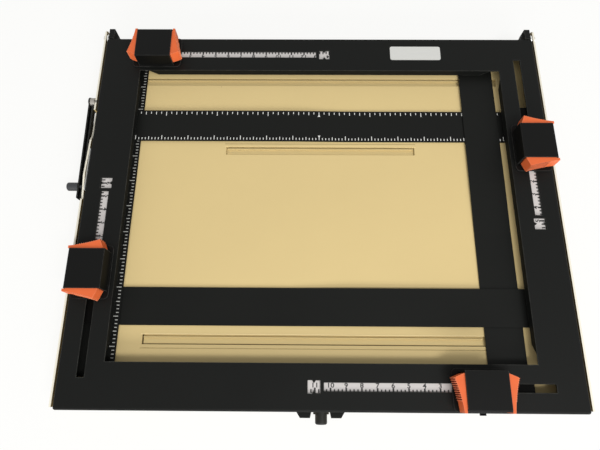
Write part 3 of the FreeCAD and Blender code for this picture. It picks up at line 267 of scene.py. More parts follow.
class EdgeWear(GroupMaker):
    """Painted highlight on edges, where a rounded normal leaves the face's own, broken up by chance.
    """

    name = "edge_wear"
    takes = {"Place": "Vector", "Radius": "Float", "Worn": "Float"}
    gives = {"Mask": "Float"}
    bevel_samples = 4
    turn_range = (0.985, 0.86)
    patch_scale = 160.0
    patch_noise = (3.0, 0.6)
    patch_range = (0.34, 0.56)
    patch_least = 0.35

    def wire(self, nodes: GroupWiring) -> None:
        """Wire the edges and their breaks.

        Args:
            nodes: The group's nodes.
        """
        given = nodes.given
        rounded = nodes.add("ShaderNodeBevel", {"Radius": given["Radius"]},
                            samples=self.bevel_samples)[0]
        face = nodes.add("ShaderNodeNewGeometry")["Normal"]
        turn = nodes.ramp(nodes.vector("DOT_PRODUCT", rounded, face), *self.turn_range)
        patch = nodes.noise(given["Place"], self.patch_scale, *self.patch_noise)
        broken = nodes.ramp(patch, *self.patch_range, self.patch_least)
        shown = nodes.calc("MULTIPLY", turn, broken)
        nodes.give(Mask=nodes.calc("MULTIPLY", shown, given["Worn"]))


class FacingMask(GroupMaker):
    """Faces that point one way."""

    name = "facing_mask"
    takes = {"Direction": "Vector"}
    gives = {"Mask": "Float"}
    turn_range = (0.5, 0.8)

    def wire(self, nodes: GroupWiring) -> None:
        """Wire the faces' turn from the direction.

        Args:
            nodes: The group's nodes.
        """
        face = nodes.add("ShaderNodeNewGeometry")["Normal"]
        same = nodes.vector("DOT_PRODUCT", face, nodes.given["Direction"])
        nodes.give(Mask=nodes.ramp(same, *self.turn_range))


class FieldMask(GroupMaker):
    """What lies outside a rectangle seen from above, with a soft border."""

    name = "field_mask"
    takes = {"Place": "Vector", "Middle": "Vector", "Half": "Vector", "Soft": "Float"}
    gives = {"Outside": "Float"}

    def wire(self, nodes: GroupWiring) -> None:
        """Wire how far a point lies past the rectangle.

        Args:
            nodes: The group's nodes.
        """
        given = nodes.given
        away = nodes.vector("SUBTRACT", given["Place"], given["Middle"])
        past = nodes.split(nodes.vector("SUBTRACT", nodes.vector("ABSOLUTE", away), given["Half"]))
        most = nodes.calc("MAXIMUM", past["X"], past["Y"])
        nodes.give(Outside=nodes.ramp(most, 0.0, given["Soft"]))


# ------------------------------------------------------------------------ places

@dataclass(frozen=True)
class Easel:
    """Where the easel's main places are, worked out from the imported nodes.

    Attributes:
        frame_rise: Height of the mask frame's top over the high blades.
        frame_deep: From the middle of the opening to the frame's rear face.
        half_wide: Half the opening's width.
        half_deep: Half the opening's depth.
    """

    frame_rise: float = 9.0 * MM
    frame_deep: float = 177.5 * MM
    half_wide: float = 177.8 * MM
    half_deep: float = 139.7 * MM

    def centre(self) -> Vector:
        """Return the middle of the opening, at the height of the high blades' top."""
        low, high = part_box("mask_frame")
        return Vector(((low[0] + high[0]) / 2, high[1] - self.frame_deep,
                       high[2] - self.frame_rise))


class Side(Enum):
    """The four sides of the mask frame, as quarter turns from the front."""

    FRONT = 0
    RIGHT = 1
    REAR = 2
    LEFT = 3

    @property
    def label(self) -> str:
        """Return the side's name in the record."""
        return self.name.lower()

    @property
    def blade(self) -> str:
        """Return the node of the blade that this side's slider carries."""
        return f"blade_{Side((self.value + 1) % 4).label}"

    def matrix(self, easel: Easel) -> Matrix:
        """Return the move from a side's own axes to the easel.

        Args:
            easel: The easel's places.

        Returns:
            X along the travel, Y inward and Z up, from the middle of the opening's edge.
        """
        across = easel.half_deep if self.value % 2 == 0 else easel.half_wide
        turn = Matrix.Rotation(math.radians(90 * self.value), 4, "Z")
        return Matrix.Translation(easel.centre()) @ turn @ Matrix.Translation((0, -across, 0))

    def box(self, easel: Easel, node: str) -> tuple[Vector, Vector]:
        """Return a node's corners in the side's own axes.

        Args:
            easel: The easel's places.
            node: The node's name.

        Returns:
            The lowest and highest corner.
        """
        inverse = self.matrix(easel).inverted()
        first, second = (inverse @ Vector(corner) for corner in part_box(node))
        return Vector(map(min, first, second)), Vector(map(max, first, second))


# ---------------------------------------------------------------------- finishes

def toned(colour: Colour, times: float) -> Colour:
    """Return a linear colour made lighter or darker by a factor."""
    return tuple(min(1.0, part * times) for part in colour)


class Surface(Wiring):
    """The nodes of one material, round its Principled shader."""

    def __init__(self, material: bpy.types.Material) -> None:
        """Find the shader's inputs, and add the place that the patterns read.

        Args:
            material: The material, with its first nodes.
        """
        super().__init__(material.node_tree)
        self.shader = material.node_tree.nodes["Principled BSDF"].inputs
        self.place = self.add("ShaderNodeTexCoord")["Object"]

    def group(self, maker: GroupMaker, **given: object) -> object:
        """Place a shared group, which reads the surface's own place where it takes one.

        Args:
            maker: The group's maker.
            given: Its other inputs by name, with underscores for spaces.

        Returns:
            The group's outputs.
        """
        inputs = {name.replace("_", " "): value for name, value in given.items()}
        if "Place" in maker.takes:
            inputs["Place"] = self.place
        return self.add("ShaderNodeGroup", inputs, node_tree=maker.tree())

    def cover(self, colour: Socket, tone: Colour, maker: GroupMaker, **given: object) -> Socket:
        """Return a colour with a tone over it, where a shared group's mask shows the tone."""
        return self.mix(self.group(maker, **given)[0], colour, tone)

    def relief(self, height: Socket, strength: float, depth: float) -> None:
        """Raise a height as bump on the shader."""
        bump = self.add("ShaderNodeBump", {
            "Strength": strength, "Distance": depth, "Height": height})
        self.put(self.shader["Normal"], bump["Normal"])

    def vary(self, value: Socket, rough: float, spread: float) -> None:
        """Let the roughness follow a value either side of its middle."""
        turned = self.ramp(value, 0.0, 1.0, rough - spread, rough + spread)
        self.put(self.shader["Roughness"], turned)


@dataclass(frozen=True)
class Finish:
    """What every finish has.

    Attributes:
        name: The finish's name.
        colour: Linear base colour.
        slot: The record's material slot.
        rough: Middle of its roughness.
    """

    name: str
    colour: Colour
    slot: str
    rough: float

    def material(self) -> bpy.types.Material:
        """Make the material the first time it is asked for.

        Returns:
            The material.
        """
        label = f"{self.name}_finish"
        made = bpy.data.materials.get(label)
        if made is None:
            made = bpy.data.materials.new(label)
            made.use_nodes = True
            made.diffuse_color = (*self.colour, 1.0)
            self.wire(Surface(made))
        return made

    def wire(self, surface: Surface) -> None:
        """Wire the shader of this kind of finish."""
        raise NotImplementedError


@dataclass(frozen=True)
class Moulded(Finish):
    """Moulded plastic or rubber with a fine spark-eroded skin.

    Attributes:
        contrast: How much its tone changes, as a share.
        gloss: The specular level.
        grain: Cells per metre of its relief.
        depth: Depth of the relief.
        tones: Patches of tone per metre.
        spread: How far its roughness goes each way.
        strength: Strength of the relief.
        edge: Linear colour of the painted highlight on its edges, broken up in patches like wear.
        edge_radius: How far the painted edge highlight reaches from an edge.
        worn: How strong the painted edge highlight is, from 0 to 1.
    """

    contrast: float = 0.06
    gloss: float = 0.4
    grain: float = 2200.0
    depth: float = 0.03 * MM
    tones: float = 60.0
    spread: float = 0.05
    strength: float = 0.45
    edge: Colour | None = None
    edge_radius: float = 0.7 * MM
    worn: float = 0.8

    def tint(self, surface: Surface, colour: Socket) -> Socket:
        """Return the colour with what this finish has on its own places.

        Args:
            surface: The material's nodes.
            colour: The colour so far.

        Returns:
            The colour's socket.
        """
        if self.edge is None:
            return colour
        # Painted highlight along the edges, broken up in patches like wear.
        return surface.cover(colour, self.edge, EdgeWear(), Radius=self.edge_radius,
                             Worn=self.worn)

    def wire(self, surface: Surface) -> None:
        """Wire skin, tone and colour.

        Args:
            surface: The material's nodes.
        """
        skin = surface.group(StoveTexture(), Grain_Scale=self.grain, Tone_Scale=self.tones,
                             Light=toned(self.colour, 1 + self.contrast),
                             Dark=toned(self.colour, 1 - self.contrast))
        surface.put(surface.shader["Base Color"], self.tint(surface, skin["Color"]))
        surface.shader["Specular IOR Level"].default_value = self.gloss
        surface.vary(skin["Tone"], self.rough, self.spread)
        surface.relief(skin["Height"], self.strength, self.depth)


@dataclass(frozen=True)
class Enamel(Moulded):
    """Stoved or sprayed enamel on sheet metal, with a little dust.

    Attributes:
        dust: Share of cells that hold a pale speck.
        dust_colour: Linear colour of the specks.
        dust_cells: Cells per metre.
        dust_radius: Size of the largest speck, as a share of a cell.
    """

    contrast: float = 0.1
    gloss: float = 0.3
    grain: float = 1500.0
    depth: float = 0.04 * MM
    tones: float = 11.0
    spread: float = 0.06
    strength: float = 0.5
    worn: float = 0.9
    dust: float = 0.02
    dust_colour: Colour = (0.3, 0.3, 0.3)
    dust_cells: float = 110.0
    dust_radius: float = 0.055

    def tint(self, surface: Surface, colour: Socket) -> Socket:
        """Return the colour with dust and the painted edge highlight.

        Args:
            surface: The material's nodes.
            colour: The colour so far.

        Returns:
            The colour's socket.
        """
        dusty = surface.cover(colour, self.dust_colour, DustMask(), Cells=self.dust_cells,
                              Radius=self.dust_radius, Share=self.dust)
        return super().tint(surface, dusty)


@dataclass(frozen=True)
class BeigeEnamel(Enamel):
    """The smooth beige enamel of tray, rails and stops."""

    slot: str = "tray_enamel"
    rough: float = 0.62
    contrast: float = 0.022
    grain: float = 1300.0
    depth: float = 0.03 * MM


@dataclass(frozen=True)
class TrayEnamel(BeigeEnamel):
    """The tray's enamel, with painted shade in its slots and in the margins that the frame covers.

    Attributes:
        deep: Linear colour of the painted shade at the bottom of a slot.
        shade_from: Depth under the high blades' top at which a slot starts to darken.
        shade_to: Depth at which it is darkest.
        field: Half the width and depth of the field that holds the slots.
        field_soft: Width of that field's border.
        dim: Linear colour of the painted shade in the margins.
        open_half: Half the width and depth of the part that the frame leaves open.
        open_soft: Width of that part's border.
    """

    dust: float = 0.01
    dust_colour: Colour = (0.42, 0.31, 0.15)
    deep: Colour = (0.48, 0.37, 0.168)
    shade_from: float = 2.55 * MM
    shade_to: float = 3.6 * MM
    field: tuple[float, float, float] = (0.2, 0.145, 1.0)
    field_soft: float = 0.001 * MM
    dim: Colour = (0.58, 0.448, 0.208)
    open_half: tuple[float, float, float] = (0.183, 0.1445, 1.0)
    open_soft: float = 12.0 * MM

    def tint(self, surface: Surface, colour: Socket) -> Socket:
        """Return the colour with the painted shade in the slots and in the margins.

        Args:
            surface: The material's nodes.
            colour: The colour so far.

        Returns:
            The colour's socket.
        """
        middle = Easel().centre()
        # Painted shade: the slots' walls darken with depth under the tray's top.
        depth = surface.ramp(surface.split(surface.place)["Z"], middle.z - self.shade_from,
                             middle.z - self.shade_to)
        field = surface.group(FieldMask(), Middle=middle, Half=self.field, Soft=self.field_soft)
        grime = surface.calc("MULTIPLY", depth, surface.calc("SUBTRACT", 1.0, field["Outside"]))
        slotted = surface.mix(grime, super().tint(surface, colour), self.deep)
        # Painted shade in the margins that the frame covers, outside the open part.
        return surface.cover(slotted, self.dim, FieldMask(), Middle=middle, Half=self.open_half,
                             Soft=self.open_soft)


@dataclass(frozen=True)
class RailEnamel(BeigeEnamel):
    """Enamel of a side rail, with painted highlight on faces that point up and painted shade on its
    inner face.

    Attributes:
        inward: The way its inner face points.
        bright: Linear colour of the painted highlight on the faces that point up.
        grime: Linear colour of the painted shade on the inner face.
    """

    dust: float = 0.01
    dust_colour: Colour = (0.42, 0.31, 0.15)
    inward: tuple[float, float, float] = (1.0, 0.0, 0.0)
    bright: Colour = (0.93, 0.88, 0.74)
    grime: Colour = (0.20, 0.145, 0.06)

    def tint(self, surface: Surface, colour: Socket) -> Socket:
        """Return the colour with the painted highlight and the painted shade.

        Args:
            surface: The material's nodes.
            colour: The colour so far.

        Returns:
            The colour's socket.
        """
        # Painted shade on the inner face beside the frame.
        inner_shaded = surface.cover(super().tint(surface, colour), self.grime, FacingMask(),
                             Direction=self.inward)
        # Painted highlight on the faces that point up.
        return surface.cover(inner_shaded, self.bright, FacingMask(), Direction=(0.0, 0.0, 1.0))


@dataclass(frozen=True)
class StopEnamel(BeigeEnamel):
    """Enamel of a paper stop, with painted shade past its clean field and towards its rear.

    Attributes:
        deep: Linear colour of the painted shade past the clean field.
        low: Left and front end of the clean field, from the middle of the opening.
        high: Its right and rear end.
        soft: Width of the field's border.
        fade: Front and rear end of the painted shade along the strip's depth, from the middle.
        faded: Linear colour of the painted shade at that span's rear end.
    """

    deep: Colour = (0.53, 0.405, 0.180)
    low: tuple[float, float] = (-0.3, -0.3)
    high: tuple[float, float] = (0.3, 0.3)
    soft: float = 0.4 * MM
    fade: tuple[float, float] = (0.3, 0.31)
    faded: Colour = (0.6, 0.47, 0.22)

    def tint(self, surface: Surface, colour: Socket) -> Socket:
        """Return the colour with the painted shade towards the rear and round the clean field.

        Args:
            surface: The material's nodes.
            colour: The colour so far.

        Returns:
            The colour's socket.
        """
        centre = Easel().centre()
        low, high = Vector((*self.low, 0.0)), Vector((*self.high, 0.0))
        # Painted shade that grows towards the strip's rear.
        share = surface.ramp(surface.split(surface.place)["Y"], centre.y + self.fade[0],
                             centre.y + self.fade[1])
        even = surface.mix(share, super().tint(surface, colour), self.faded)
        # Painted shade round the clean field, at the slot's ends and gaps.
        return surface.cover(even, self.deep, FieldMask(), Middle=centre + (low + high) / 2,
                             Half=(high - low) / 2, Soft=self.soft)


@dataclass(frozen=True)
class Metal(Finish):
    """Bare or plated metal with drawn scratches.

    Attributes:
        stretch: Scratch frequency along X, Y and Z.
        depth: Depth of the scratches.
        contrast: How much its tone changes, as a share.
        spread: How far its roughness goes each way.
        strength: Strength of the relief.
    """

    stretch: tuple[float, float, float] = (60.0, 4000.0, 4000.0)
    depth: float = 0.008 * MM
    contrast: float = 0.12
    spread: float = 0.08
    strength: float = 0.4

    def wire(self, surface: Surface) -> None:
        """Wire scratches and tone.

        Args:
            surface: The material's nodes.
        """
        brushed = surface.group(Brushing(), Stretch=self.stretch,
                                Light=toned(self.colour, 1 + self.contrast),
                                Dark=toned(self.colour, 1 - self.contrast))
        surface.put(surface.shader["Base Color"], brushed["Color"])
        surface.shader["Metallic"].default_value = 1.0
        surface.vary(brushed["Height"], self.rough, self.spread)
        surface.relief(brushed["Height"], self.strength, self.depth)


@dataclass(frozen=True)
class Ink(Finish):
    """Printed or filled marks, a little worn.

    Attributes:
        ground: Linear colour of what shows where the ink has worn.
        worn: How much of the ink is thin, from 0 to 1.
        grain: Worn patches per metre.
        noise: Detail and roughness of the patches.
        thin: Where in the noise the wear starts and ends.
        gloss: The specular level.
        spread: How far its roughness goes each way.
    """

    ground: Colour = (0.1, 0.1, 0.1)
    worn: float = 0.25
    grain: float = 900.0
    noise: tuple[float, float] = (4.0, 0.65)
    thin: tuple[float, float] = (0.52, 0.72)
    gloss: float = 0.3
    spread: float = 0.1

    def wire(self, surface: Surface) -> None:
        """Wire the ink's wear.

        Args:
            surface: The material's nodes.
        """
        patch = surface.noise(surface.place, self.grain, *self.noise)
        wear = surface.ramp(patch, *self.thin, 0.0, self.worn)
        surface.put(surface.shader["Base Color"], surface.mix(wear, self.colour, self.ground))
        surface.shader["Specular IOR Level"].default_value = self.gloss
        surface.vary(patch, self.rough, self.spread)


EVEN = (1500.0, 1500.0, 1500.0)


class Finishes:
    """The easel's finishes."""

    # Its edge colour is a painted highlight along the frame's edges.
    frame_black = Enamel("frame_black", (0.0048, 0.0052, 0.0047), "black_enamel", 0.56,
                         contrast=0.18, gloss=0.12, dust=0.014, dust_colour=(0.16, 0.16, 0.155),
                         edge=(0.060, 0.061, 0.055), edge_radius=1.0 * MM)
    # A darker copy of the black enamel: painted shade for the carriages seen down in the slots.
    carriage_black = Enamel("carriage_black", (0.0010, 0.0010, 0.0009), "black_enamel", 0.60,
                            contrast=0.15, gloss=0.04, dust=0.006, dust_colour=(0.05, 0.05, 0.05))
    blade_black = Enamel("blade_black", (0.0054, 0.0058, 0.0051), "blade_black", 0.52,
                         contrast=0.15, gloss=0.12, grain=2100.0, dust=0.03,
                         dust_colour=(0.15, 0.15, 0.15))
    # Its edge colour is a painted highlight along the caps' edges.
    cap_black = Enamel("cap_black", (0.0030, 0.0031, 0.0029), "black_enamel", 0.54, contrast=0.15,
                       gloss=0.11, grain=1800.0, dust=0.008, dust_colour=(0.1, 0.1, 0.1),
                       edge=(0.070, 0.070, 0.066), edge_radius=0.9 * MM)
    tray_beige = TrayEnamel("tray_beige", (0.715, 0.555, 0.262))
    # Its shade colour paints dark shade at the ends of its slot and along its front gap.
    front_stop = StopEnamel("front_stop", (0.715, 0.560, 0.264), deep=(0.12, 0.085, 0.034),
                            low=(-0.1510, -0.1239), high=(0.1596, -0.1))
    # Painted lighter than the tray to offset the shade down in its slot, with painted shade at its
    # ends and rear.
    middle_stop = StopEnamel("middle_stop", (0.80, 0.625, 0.296), low=(-0.0883, 0.04),
                             high=(0.0902, 0.0602), fade=(0.0550, 0.0604),
                             faded=(0.52, 0.406, 0.192))
    # Painted shade towards its rear, beside the frame's rear side.
    rear_stop = StopEnamel("rear_stop", (0.717, 0.560, 0.264), low=(-0.3, 0.1), high=(0.3, 0.1366),
                           fade=(0.1320, 0.1366), faded=(0.44, 0.344, 0.162))
    # Painted shade: a darker beige that stands for the shade in the pressed creases.
    line_beige = Enamel("line_beige", (0.43, 0.32, 0.14), "tray_enamel", 0.62, contrast=0.05)
    # Painted highlight on the rim of the front slot.
    edge_beige = Enamel("edge_beige", (0.84, 0.67, 0.345), "tray_enamel", 0.62, contrast=0.03)
    rail_left = RailEnamel("rail_left", (0.715, 0.555, 0.262))
    rail_right = RailEnamel("rail_right", (0.715, 0.555, 0.262), inward=(-1.0, 0.0, 0.0))
    # Its edge colour is a painted highlight along the levers' edges.
    lever_orange = Moulded("lever_orange", (0.78, 0.150, 0.046), "orange_plastic", 0.46, gloss=0.22,
                           edge=(0.90, 0.33, 0.19))
    # Lighter than the levers' orange, as a painted highlight on the ribs.
    rib_orange = Moulded("rib_orange", (0.84, 0.235, 0.105), "orange_plastic", 0.46, gloss=0.30)
    # A dark sheet of painted shade between the ribs.
    gap_orange = Moulded("gap_orange", (0.20, 0.026, 0.010), "orange_plastic", 0.60, gloss=0.10)
    knob_grey = Moulded("knob_grey", (0.030, 0.032, 0.036), "dark_knob", 0.42, gloss=0.45)
    button_black = Moulded("button_black", (0.012, 0.012, 0.010), "dark_knob", 0.50, gloss=0.25)
    foot_black = Moulded("foot_black", (0.018, 0.018, 0.018), "foot_rubber", 0.75, gloss=0.25,
                         grain=1400.0, depth=0.06 * MM)
    plated = Metal("plated_steel", (0.66, 0.66, 0.64), "bright_steel", 0.34, stretch=EVEN)
    stud_steel = Metal("stud_steel", (0.34, 0.32, 0.29), "bright_steel", 0.52, stretch=EVEN)
    spring = Metal("blued_spring", (0.30, 0.31, 0.34), "spring_steel", 0.36)
    plate_silver = Metal("plate_silver", (0.64, 0.64, 0.62), "silver_plate", 0.45, contrast=0.08)
    tape = Enamel("tape_white", (0.63, 0.60, 0.585), "tape_white", 0.42, contrast=0.03, gloss=0.4,
                  grain=2400.0, depth=0.01 * MM, dust_colour=(0.4, 0.4, 0.38))
    scale = Enamel("scale_grey", (0.62, 0.63, 0.62), "scale_grey", 0.45, contrast=0.04, gloss=0.4,
                   grain=2400.0, depth=0.01 * MM, dust_colour=(0.4, 0.4, 0.4))
    white_ink = Ink("white_ink", (0.80, 0.80, 0.77), "blade_black", 0.55, ground=(0.22, 0.22, 0.22))
    # A dimmer ink for the left blade's marks.
    faded_ink = Ink("faded_ink", (0.50, 0.50, 0.47), "blade_black", 0.60, worn=0.5)
    black_ink = Ink("black_ink", (0.012, 0.012, 0.012), "tape_white", 0.5)


NODE_FINISHES: dict[str, Finish] = {
    "base_tray": Finishes.tray_beige,
    "side_rail_left": Finishes.rail_left,
    "side_rail_right": Finishes.rail_right,
    "carrier_straps": Finishes.tray_beige,
    "rear_stop": Finishes.rear_stop,
    "middle_stop": Finishes.middle_stop,
    "front_stop": Finishes.front_stop,
    "stop_carrier": Finishes.plated,
    "feet": Finishes.foot_black,
    "foot_screws": Finishes.plated,
    "hinge_pins": Finishes.plated,
    "pivot_stud": Finishes.stud_steel,
    "margin_scale": Finishes.scale,
    "margin_lever": Finishes.frame_black,
    "lever_knob": Finishes.knob_grey,
    "button_bush": Finishes.button_black,
    "front_button": Finishes.button_black,
    "catch_plate": Finishes.plated,
    "mask_frame": Finishes.frame_black,
    "name_plate": Finishes.plate_silver,
    "tape_guides": Finishes.plated,
    "hinge_brackets": Finishes.frame_black,
    "blade": Finishes.blade_black,
    "carriage": Finishes.carriage_black,
    "tape": Finishes.tape,
    "slider_plate": Finishes.cap_black,
    "cap": Finishes.cap_black,
    "lever_spring": Finishes.spring,
    "slider_pins": Finishes.plated,
    "lever": Finishes.lever_orange,
}


def finish_of(node: str) -> Finish:
    """Return the finish of a node, by the longest name in the table that starts its own."""
    fits = [name for name in NODE_FINISHES if node.startswith(name)]
    return NODE_FINISHES[max(fits, key=len)]


def dress_nodes() -> None:
    """Give each shown node its finish."""
    for name, node in frame["nodes"].items():
        finish = finish_of(name)
        node.data.materials.clear()
        node.data.materials.append(finish.material())
        LOG.info("node %s wears %s", name, finish.name)


# ---------------------------------------------------------------- making pieces

def shown(name: str, data: bpy.types.ID) -> bpy.types.Object:
    """Make an object and put it in the scene.

    Args:
        name: The object's name.
        data: Its mesh, curve, camera or light.

    Returns:
        The object.
    """
    made = bpy.data.objects.new(name, data)
    bpy.context.scene.collection.objects.link(made)
    return made


def new_piece(name: str, mesh: Mesh, body: str, finish: Finish) -> None:
    """Make an object of a mesh that is already in place, and ride it on its body.

    Args:
        name: The piece's name.
        mesh: Its mesh, in the easel's frame.
        body: The body that carries it.
        finish: Its finish.
    """
    piece = shown(name, mesh)
    if not mesh.materials:
        mesh.materials.append(finish.material())
    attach(piece, body)
    LOG.info("piece %s rides on %s with %d faces", name, body, len(mesh.polygons))


def plain_mesh(carrier: bpy.types.Object, name: str, place: Matrix) -> Mesh:
    """Turn an object into a plain mesh, with its modifiers run, and remove the object.

    Args:
        carrier: The object.
        name: The mesh's name.
        place: The move that the mesh is given.

    Returns:
        The mesh.
    """
    bpy.context.view_layer.update()
    graph = bpy.context.evaluated_depsgraph_get()
    mesh = bpy.data.meshes.new_from_object(carrier.evaluated_get(graph), depsgraph=graph)
    mesh.name = name
    mesh.transform(place)
    bpy.data.objects.remove(carrier)
    return mesh


class Shell:
    """Builds one mesh of closed shells, each skinned over rings of points."""

    def __init__(self) -> None:
        """Start with nothing."""
        self.made = bmesh.new()

    def skin(self, rings: list[list[Vector]], round_trip: bool = False) -> None:
        """Add a shell over rings with as many points each.

        Args:
            rings: The rings in order.
            round_trip: Whether the last ring joins the first. If not, both ends are capped.
        """
        rows = [[self.made.verts.new(point) for point in ring] for ring in rings]
        for first, second in zip(rows, rows[1:] + (rows[:1] if round_trip else [])):
            for i in range(len(first)):
                j = (i + 1) % len(first)
                self.made.faces.new((first[i], first[j], second[j], second[i]))
        if not round_trip:
            self.made.faces.new(reversed(rows[0]))
            self.made.faces.new(rows[-1])

    def mesh(self, name: str) -> Mesh:
        """Return the shells as a mesh, with every face outward.

        Args:
            name: The mesh's name.

        Returns:
            The mesh.
        """
        bmesh.ops.recalc_face_normals(self.made, faces=self.made.faces)
        mesh = bpy.data.meshes.new(name)
        self.made.to_mesh(mesh)
        self.made.free()
        return mesh


class TreePiece(GroupMaker):
    """A geometry tree whose result becomes a plain mesh."""

    kind = "GeometryNodeTree"
    gives = {"Geometry": "Geometry"}

    def mesh(self, name: str, place: Matrix, seed: Mesh | None = None, **given: object) -> Mesh:
        """Run the tree and return a plain copy of what it makes.

        Args:
            name: The new mesh's name.
            place: The move into the easel's frame.
            seed: The mesh that the tree starts from, if it needs one.
            given: The tree's inputs by name, with underscores for spaces.

        Returns:
            The plain mesh, in place.
        """
        start = seed or bpy.data.meshes.new("seed")
        carrier = shown(f"{name}_carrier", start)
        modifier = carrier.modifiers.new("tree", "NODES")
        modifier.node_group = self.tree()
        sockets = {item.name: item.identifier
                   for item in modifier.node_group.interface.items_tree if item.in_out == "INPUT"}
        for key, value in given.items():
            modifier[sockets[key.replace("_", " ")]] = value
        mesh = plain_mesh(carrier, name, place)
        bpy.data.meshes.remove(start)
        return mesh

    def scatter(self, nodes: GroupWiring, points: Socket, shape: Socket, scale: Socket) -> None:
        """Set a shape on every point, and end the tree with real geometry in its finish.

        Args:
            nodes: The tree's nodes.
            points: The points.
            shape: The shape.
            scale: Its size at each point.
        """
        placed = nodes.add("GeometryNodeInstanceOnPoints", {
            "Points": points, "Instance": shape, "Scale": scale})
        real = nodes.add("GeometryNodeRealizeInstances", {"Geometry": placed[0]})
        done = nodes.add("GeometryNodeSetMaterial", {
            "Geometry": real[0], "Material": nodes.given["Finish"]})
        nodes.give(Geometry=done[0])


class Graduations(TreePiece):
    """A row of marks, short, medium and long, that follows a blade's slope."""

    name = "graduations"
    takes = {"Geometry": "Geometry", "Count": "Int", "First": "Float", "Step": "Float",
             "Phase": "Int", "Medium Every": "Float", "Long Every": "Float", "Short": "Float",
             "Medium": "Float", "Long": "Float", "Width": "Float", "Heavy Width": "Float",
             "Inset": "Float", "Thickness": "Float", "Start Height": "Float",
             "End Height": "Float", "Slope Half": "Float", "Finish": "Material"}
    level = {"Start_Height": 0.0, "End_Height": 0.0, "Slope_Half": 1.0}

    def wire(self, nodes: GroupWiring) -> None:
        """Wire the row of marks.

        Args:
            nodes: The tree's nodes.
        """
        given, calc = nodes.given, nodes.calc
        line = nodes.add("GeometryNodeMeshLine", {
            "Count": given["Count"], "Start Location": nodes.join(X=given["First"]),
            "Offset": nodes.join(X=given["Step"])})
        number = calc("ADD", nodes.add("GeometryNodeInputIndex")[0], given["Phase"])
        medium = calc("LESS_THAN", calc("MODULO", number, given["Medium Every"]), 0.5)
        heavy = calc("LESS_THAN", calc("MODULO", number, given["Long Every"]), 0.5)
        more = calc("MULTIPLY", medium, calc("SUBTRACT", given["Medium"], given["Short"]))
        most = calc("MULTIPLY", heavy, calc("SUBTRACT", given["Long"], given["Medium"]))
        length = calc("ADD", calc("ADD", given["Short"], more), most)
        wide = nodes.ramp(heavy, 0.0, 1.0, given["Width"], given["Heavy Width"])
        along = nodes.split(nodes.add("GeometryNodeInputPosition")[0])["X"]
        height = nodes.ramp(along, calc("MULTIPLY", given["Slope Half"], -1.0),
                            given["Slope Half"], given["Start Height"], given["End Height"])
        inward = calc("ADD", given["Inset"], calc("MULTIPLY", length, 0.5))
        moved = nodes.add("GeometryNodeSetPosition", {
            "Geometry": line[0], "Offset": nodes.join(Y=inward, Z=height)})
        mark = nodes.add("GeometryNodeMeshCube", {"Size": (1.0, 1.0, 1.0)})
        size = nodes.join(X=wide, Y=length, Z=given["Thickness"])
        self.scatter(nodes, moved[0], mark[0], size)

    def piece(self, name: str, body: str, place: Matrix, ink: Finish, **given: object) -> None:
        """Make one row of marks as a piece.

        Args:
            name: The piece's name.
            body: The body that carries it.
            place: The move from the row's axes to the easel.
            ink: The marks' finish.
            given: The tree's other inputs.
        """
        mesh = self.mesh(name, place, Thickness=2 * INK_PROUD, Finish=ink.material(), **given)
        new_piece(name, mesh, body, ink)


class GripRibs(TreePiece):
    """Upright moulded ribs, evenly spaced along a line on a lever's hollow face."""

    name = "grip_ribs"
    takes = {"Geometry": "Geometry", "Count": "Int", "Radius": "Float", "Height": "Float",
             "Proud": "Float", "Finish": "Material"}
    sides = 10
    tip_share = 0.35

    def wire(self, nodes: GroupWiring) -> None:
        """Wire the ribs.

        Args:
            nodes: The tree's nodes.
        """
        given, calc = nodes.given, nodes.calc
        curve = nodes.add("GeometryNodeMeshToCurve", {"Mesh": given["Geometry"]})
        points = nodes.add("GeometryNodeCurveToPoints", {
            "Curve": curve[0], "Count": given["Count"]}, mode="COUNT")
        body = calc("SUBTRACT", given["Height"], calc("MULTIPLY", given["Radius"], 2.0))
        rod = nodes.add("GeometryNodeMeshCylinder", {
            "Vertices": self.sides, "Side Segments": 1, "Radius": given["Radius"], "Depth": body})
        tip = nodes.add("GeometryNodeMeshCone", {
            "Vertices": self.sides, "Radius Bottom": given["Radius"], "Depth": given["Radius"],
            "Radius Top": calc("MULTIPLY", given["Radius"], self.tip_share)})
        up = nodes.join(Z=calc("MULTIPLY", body, 0.5))
        top = nodes.add("GeometryNodeTransform", {"Geometry": tip[0], "Translation": up})
        rib = nodes.add("GeometryNodeJoinGeometry", {"Geometry": [rod[0], top[0]]})
        self.scatter(nodes, points[0], rib[0], nodes.join(X=given["Proud"], Y=1.0, Z=1.0))


# --------------------------------------------------------------- sub-assemblies

@dataclass(frozen=True)
class Ruling:
    """How a row of marks on a blade is divided.

    Attributes:
        step: From one mark to the next.
        each_way: Marks on each side of the middle.
        medium_every: Marks from one medium mark to the next.
        long_every: Marks from one long mark to the next.
        long: Length of a long mark.
        foot_first: Whether the row starts on the blade's low side.
    """

    step: float
    each_way: int
    medium_every: float
    long_every: float
    long: float
    foot_first: bool = False


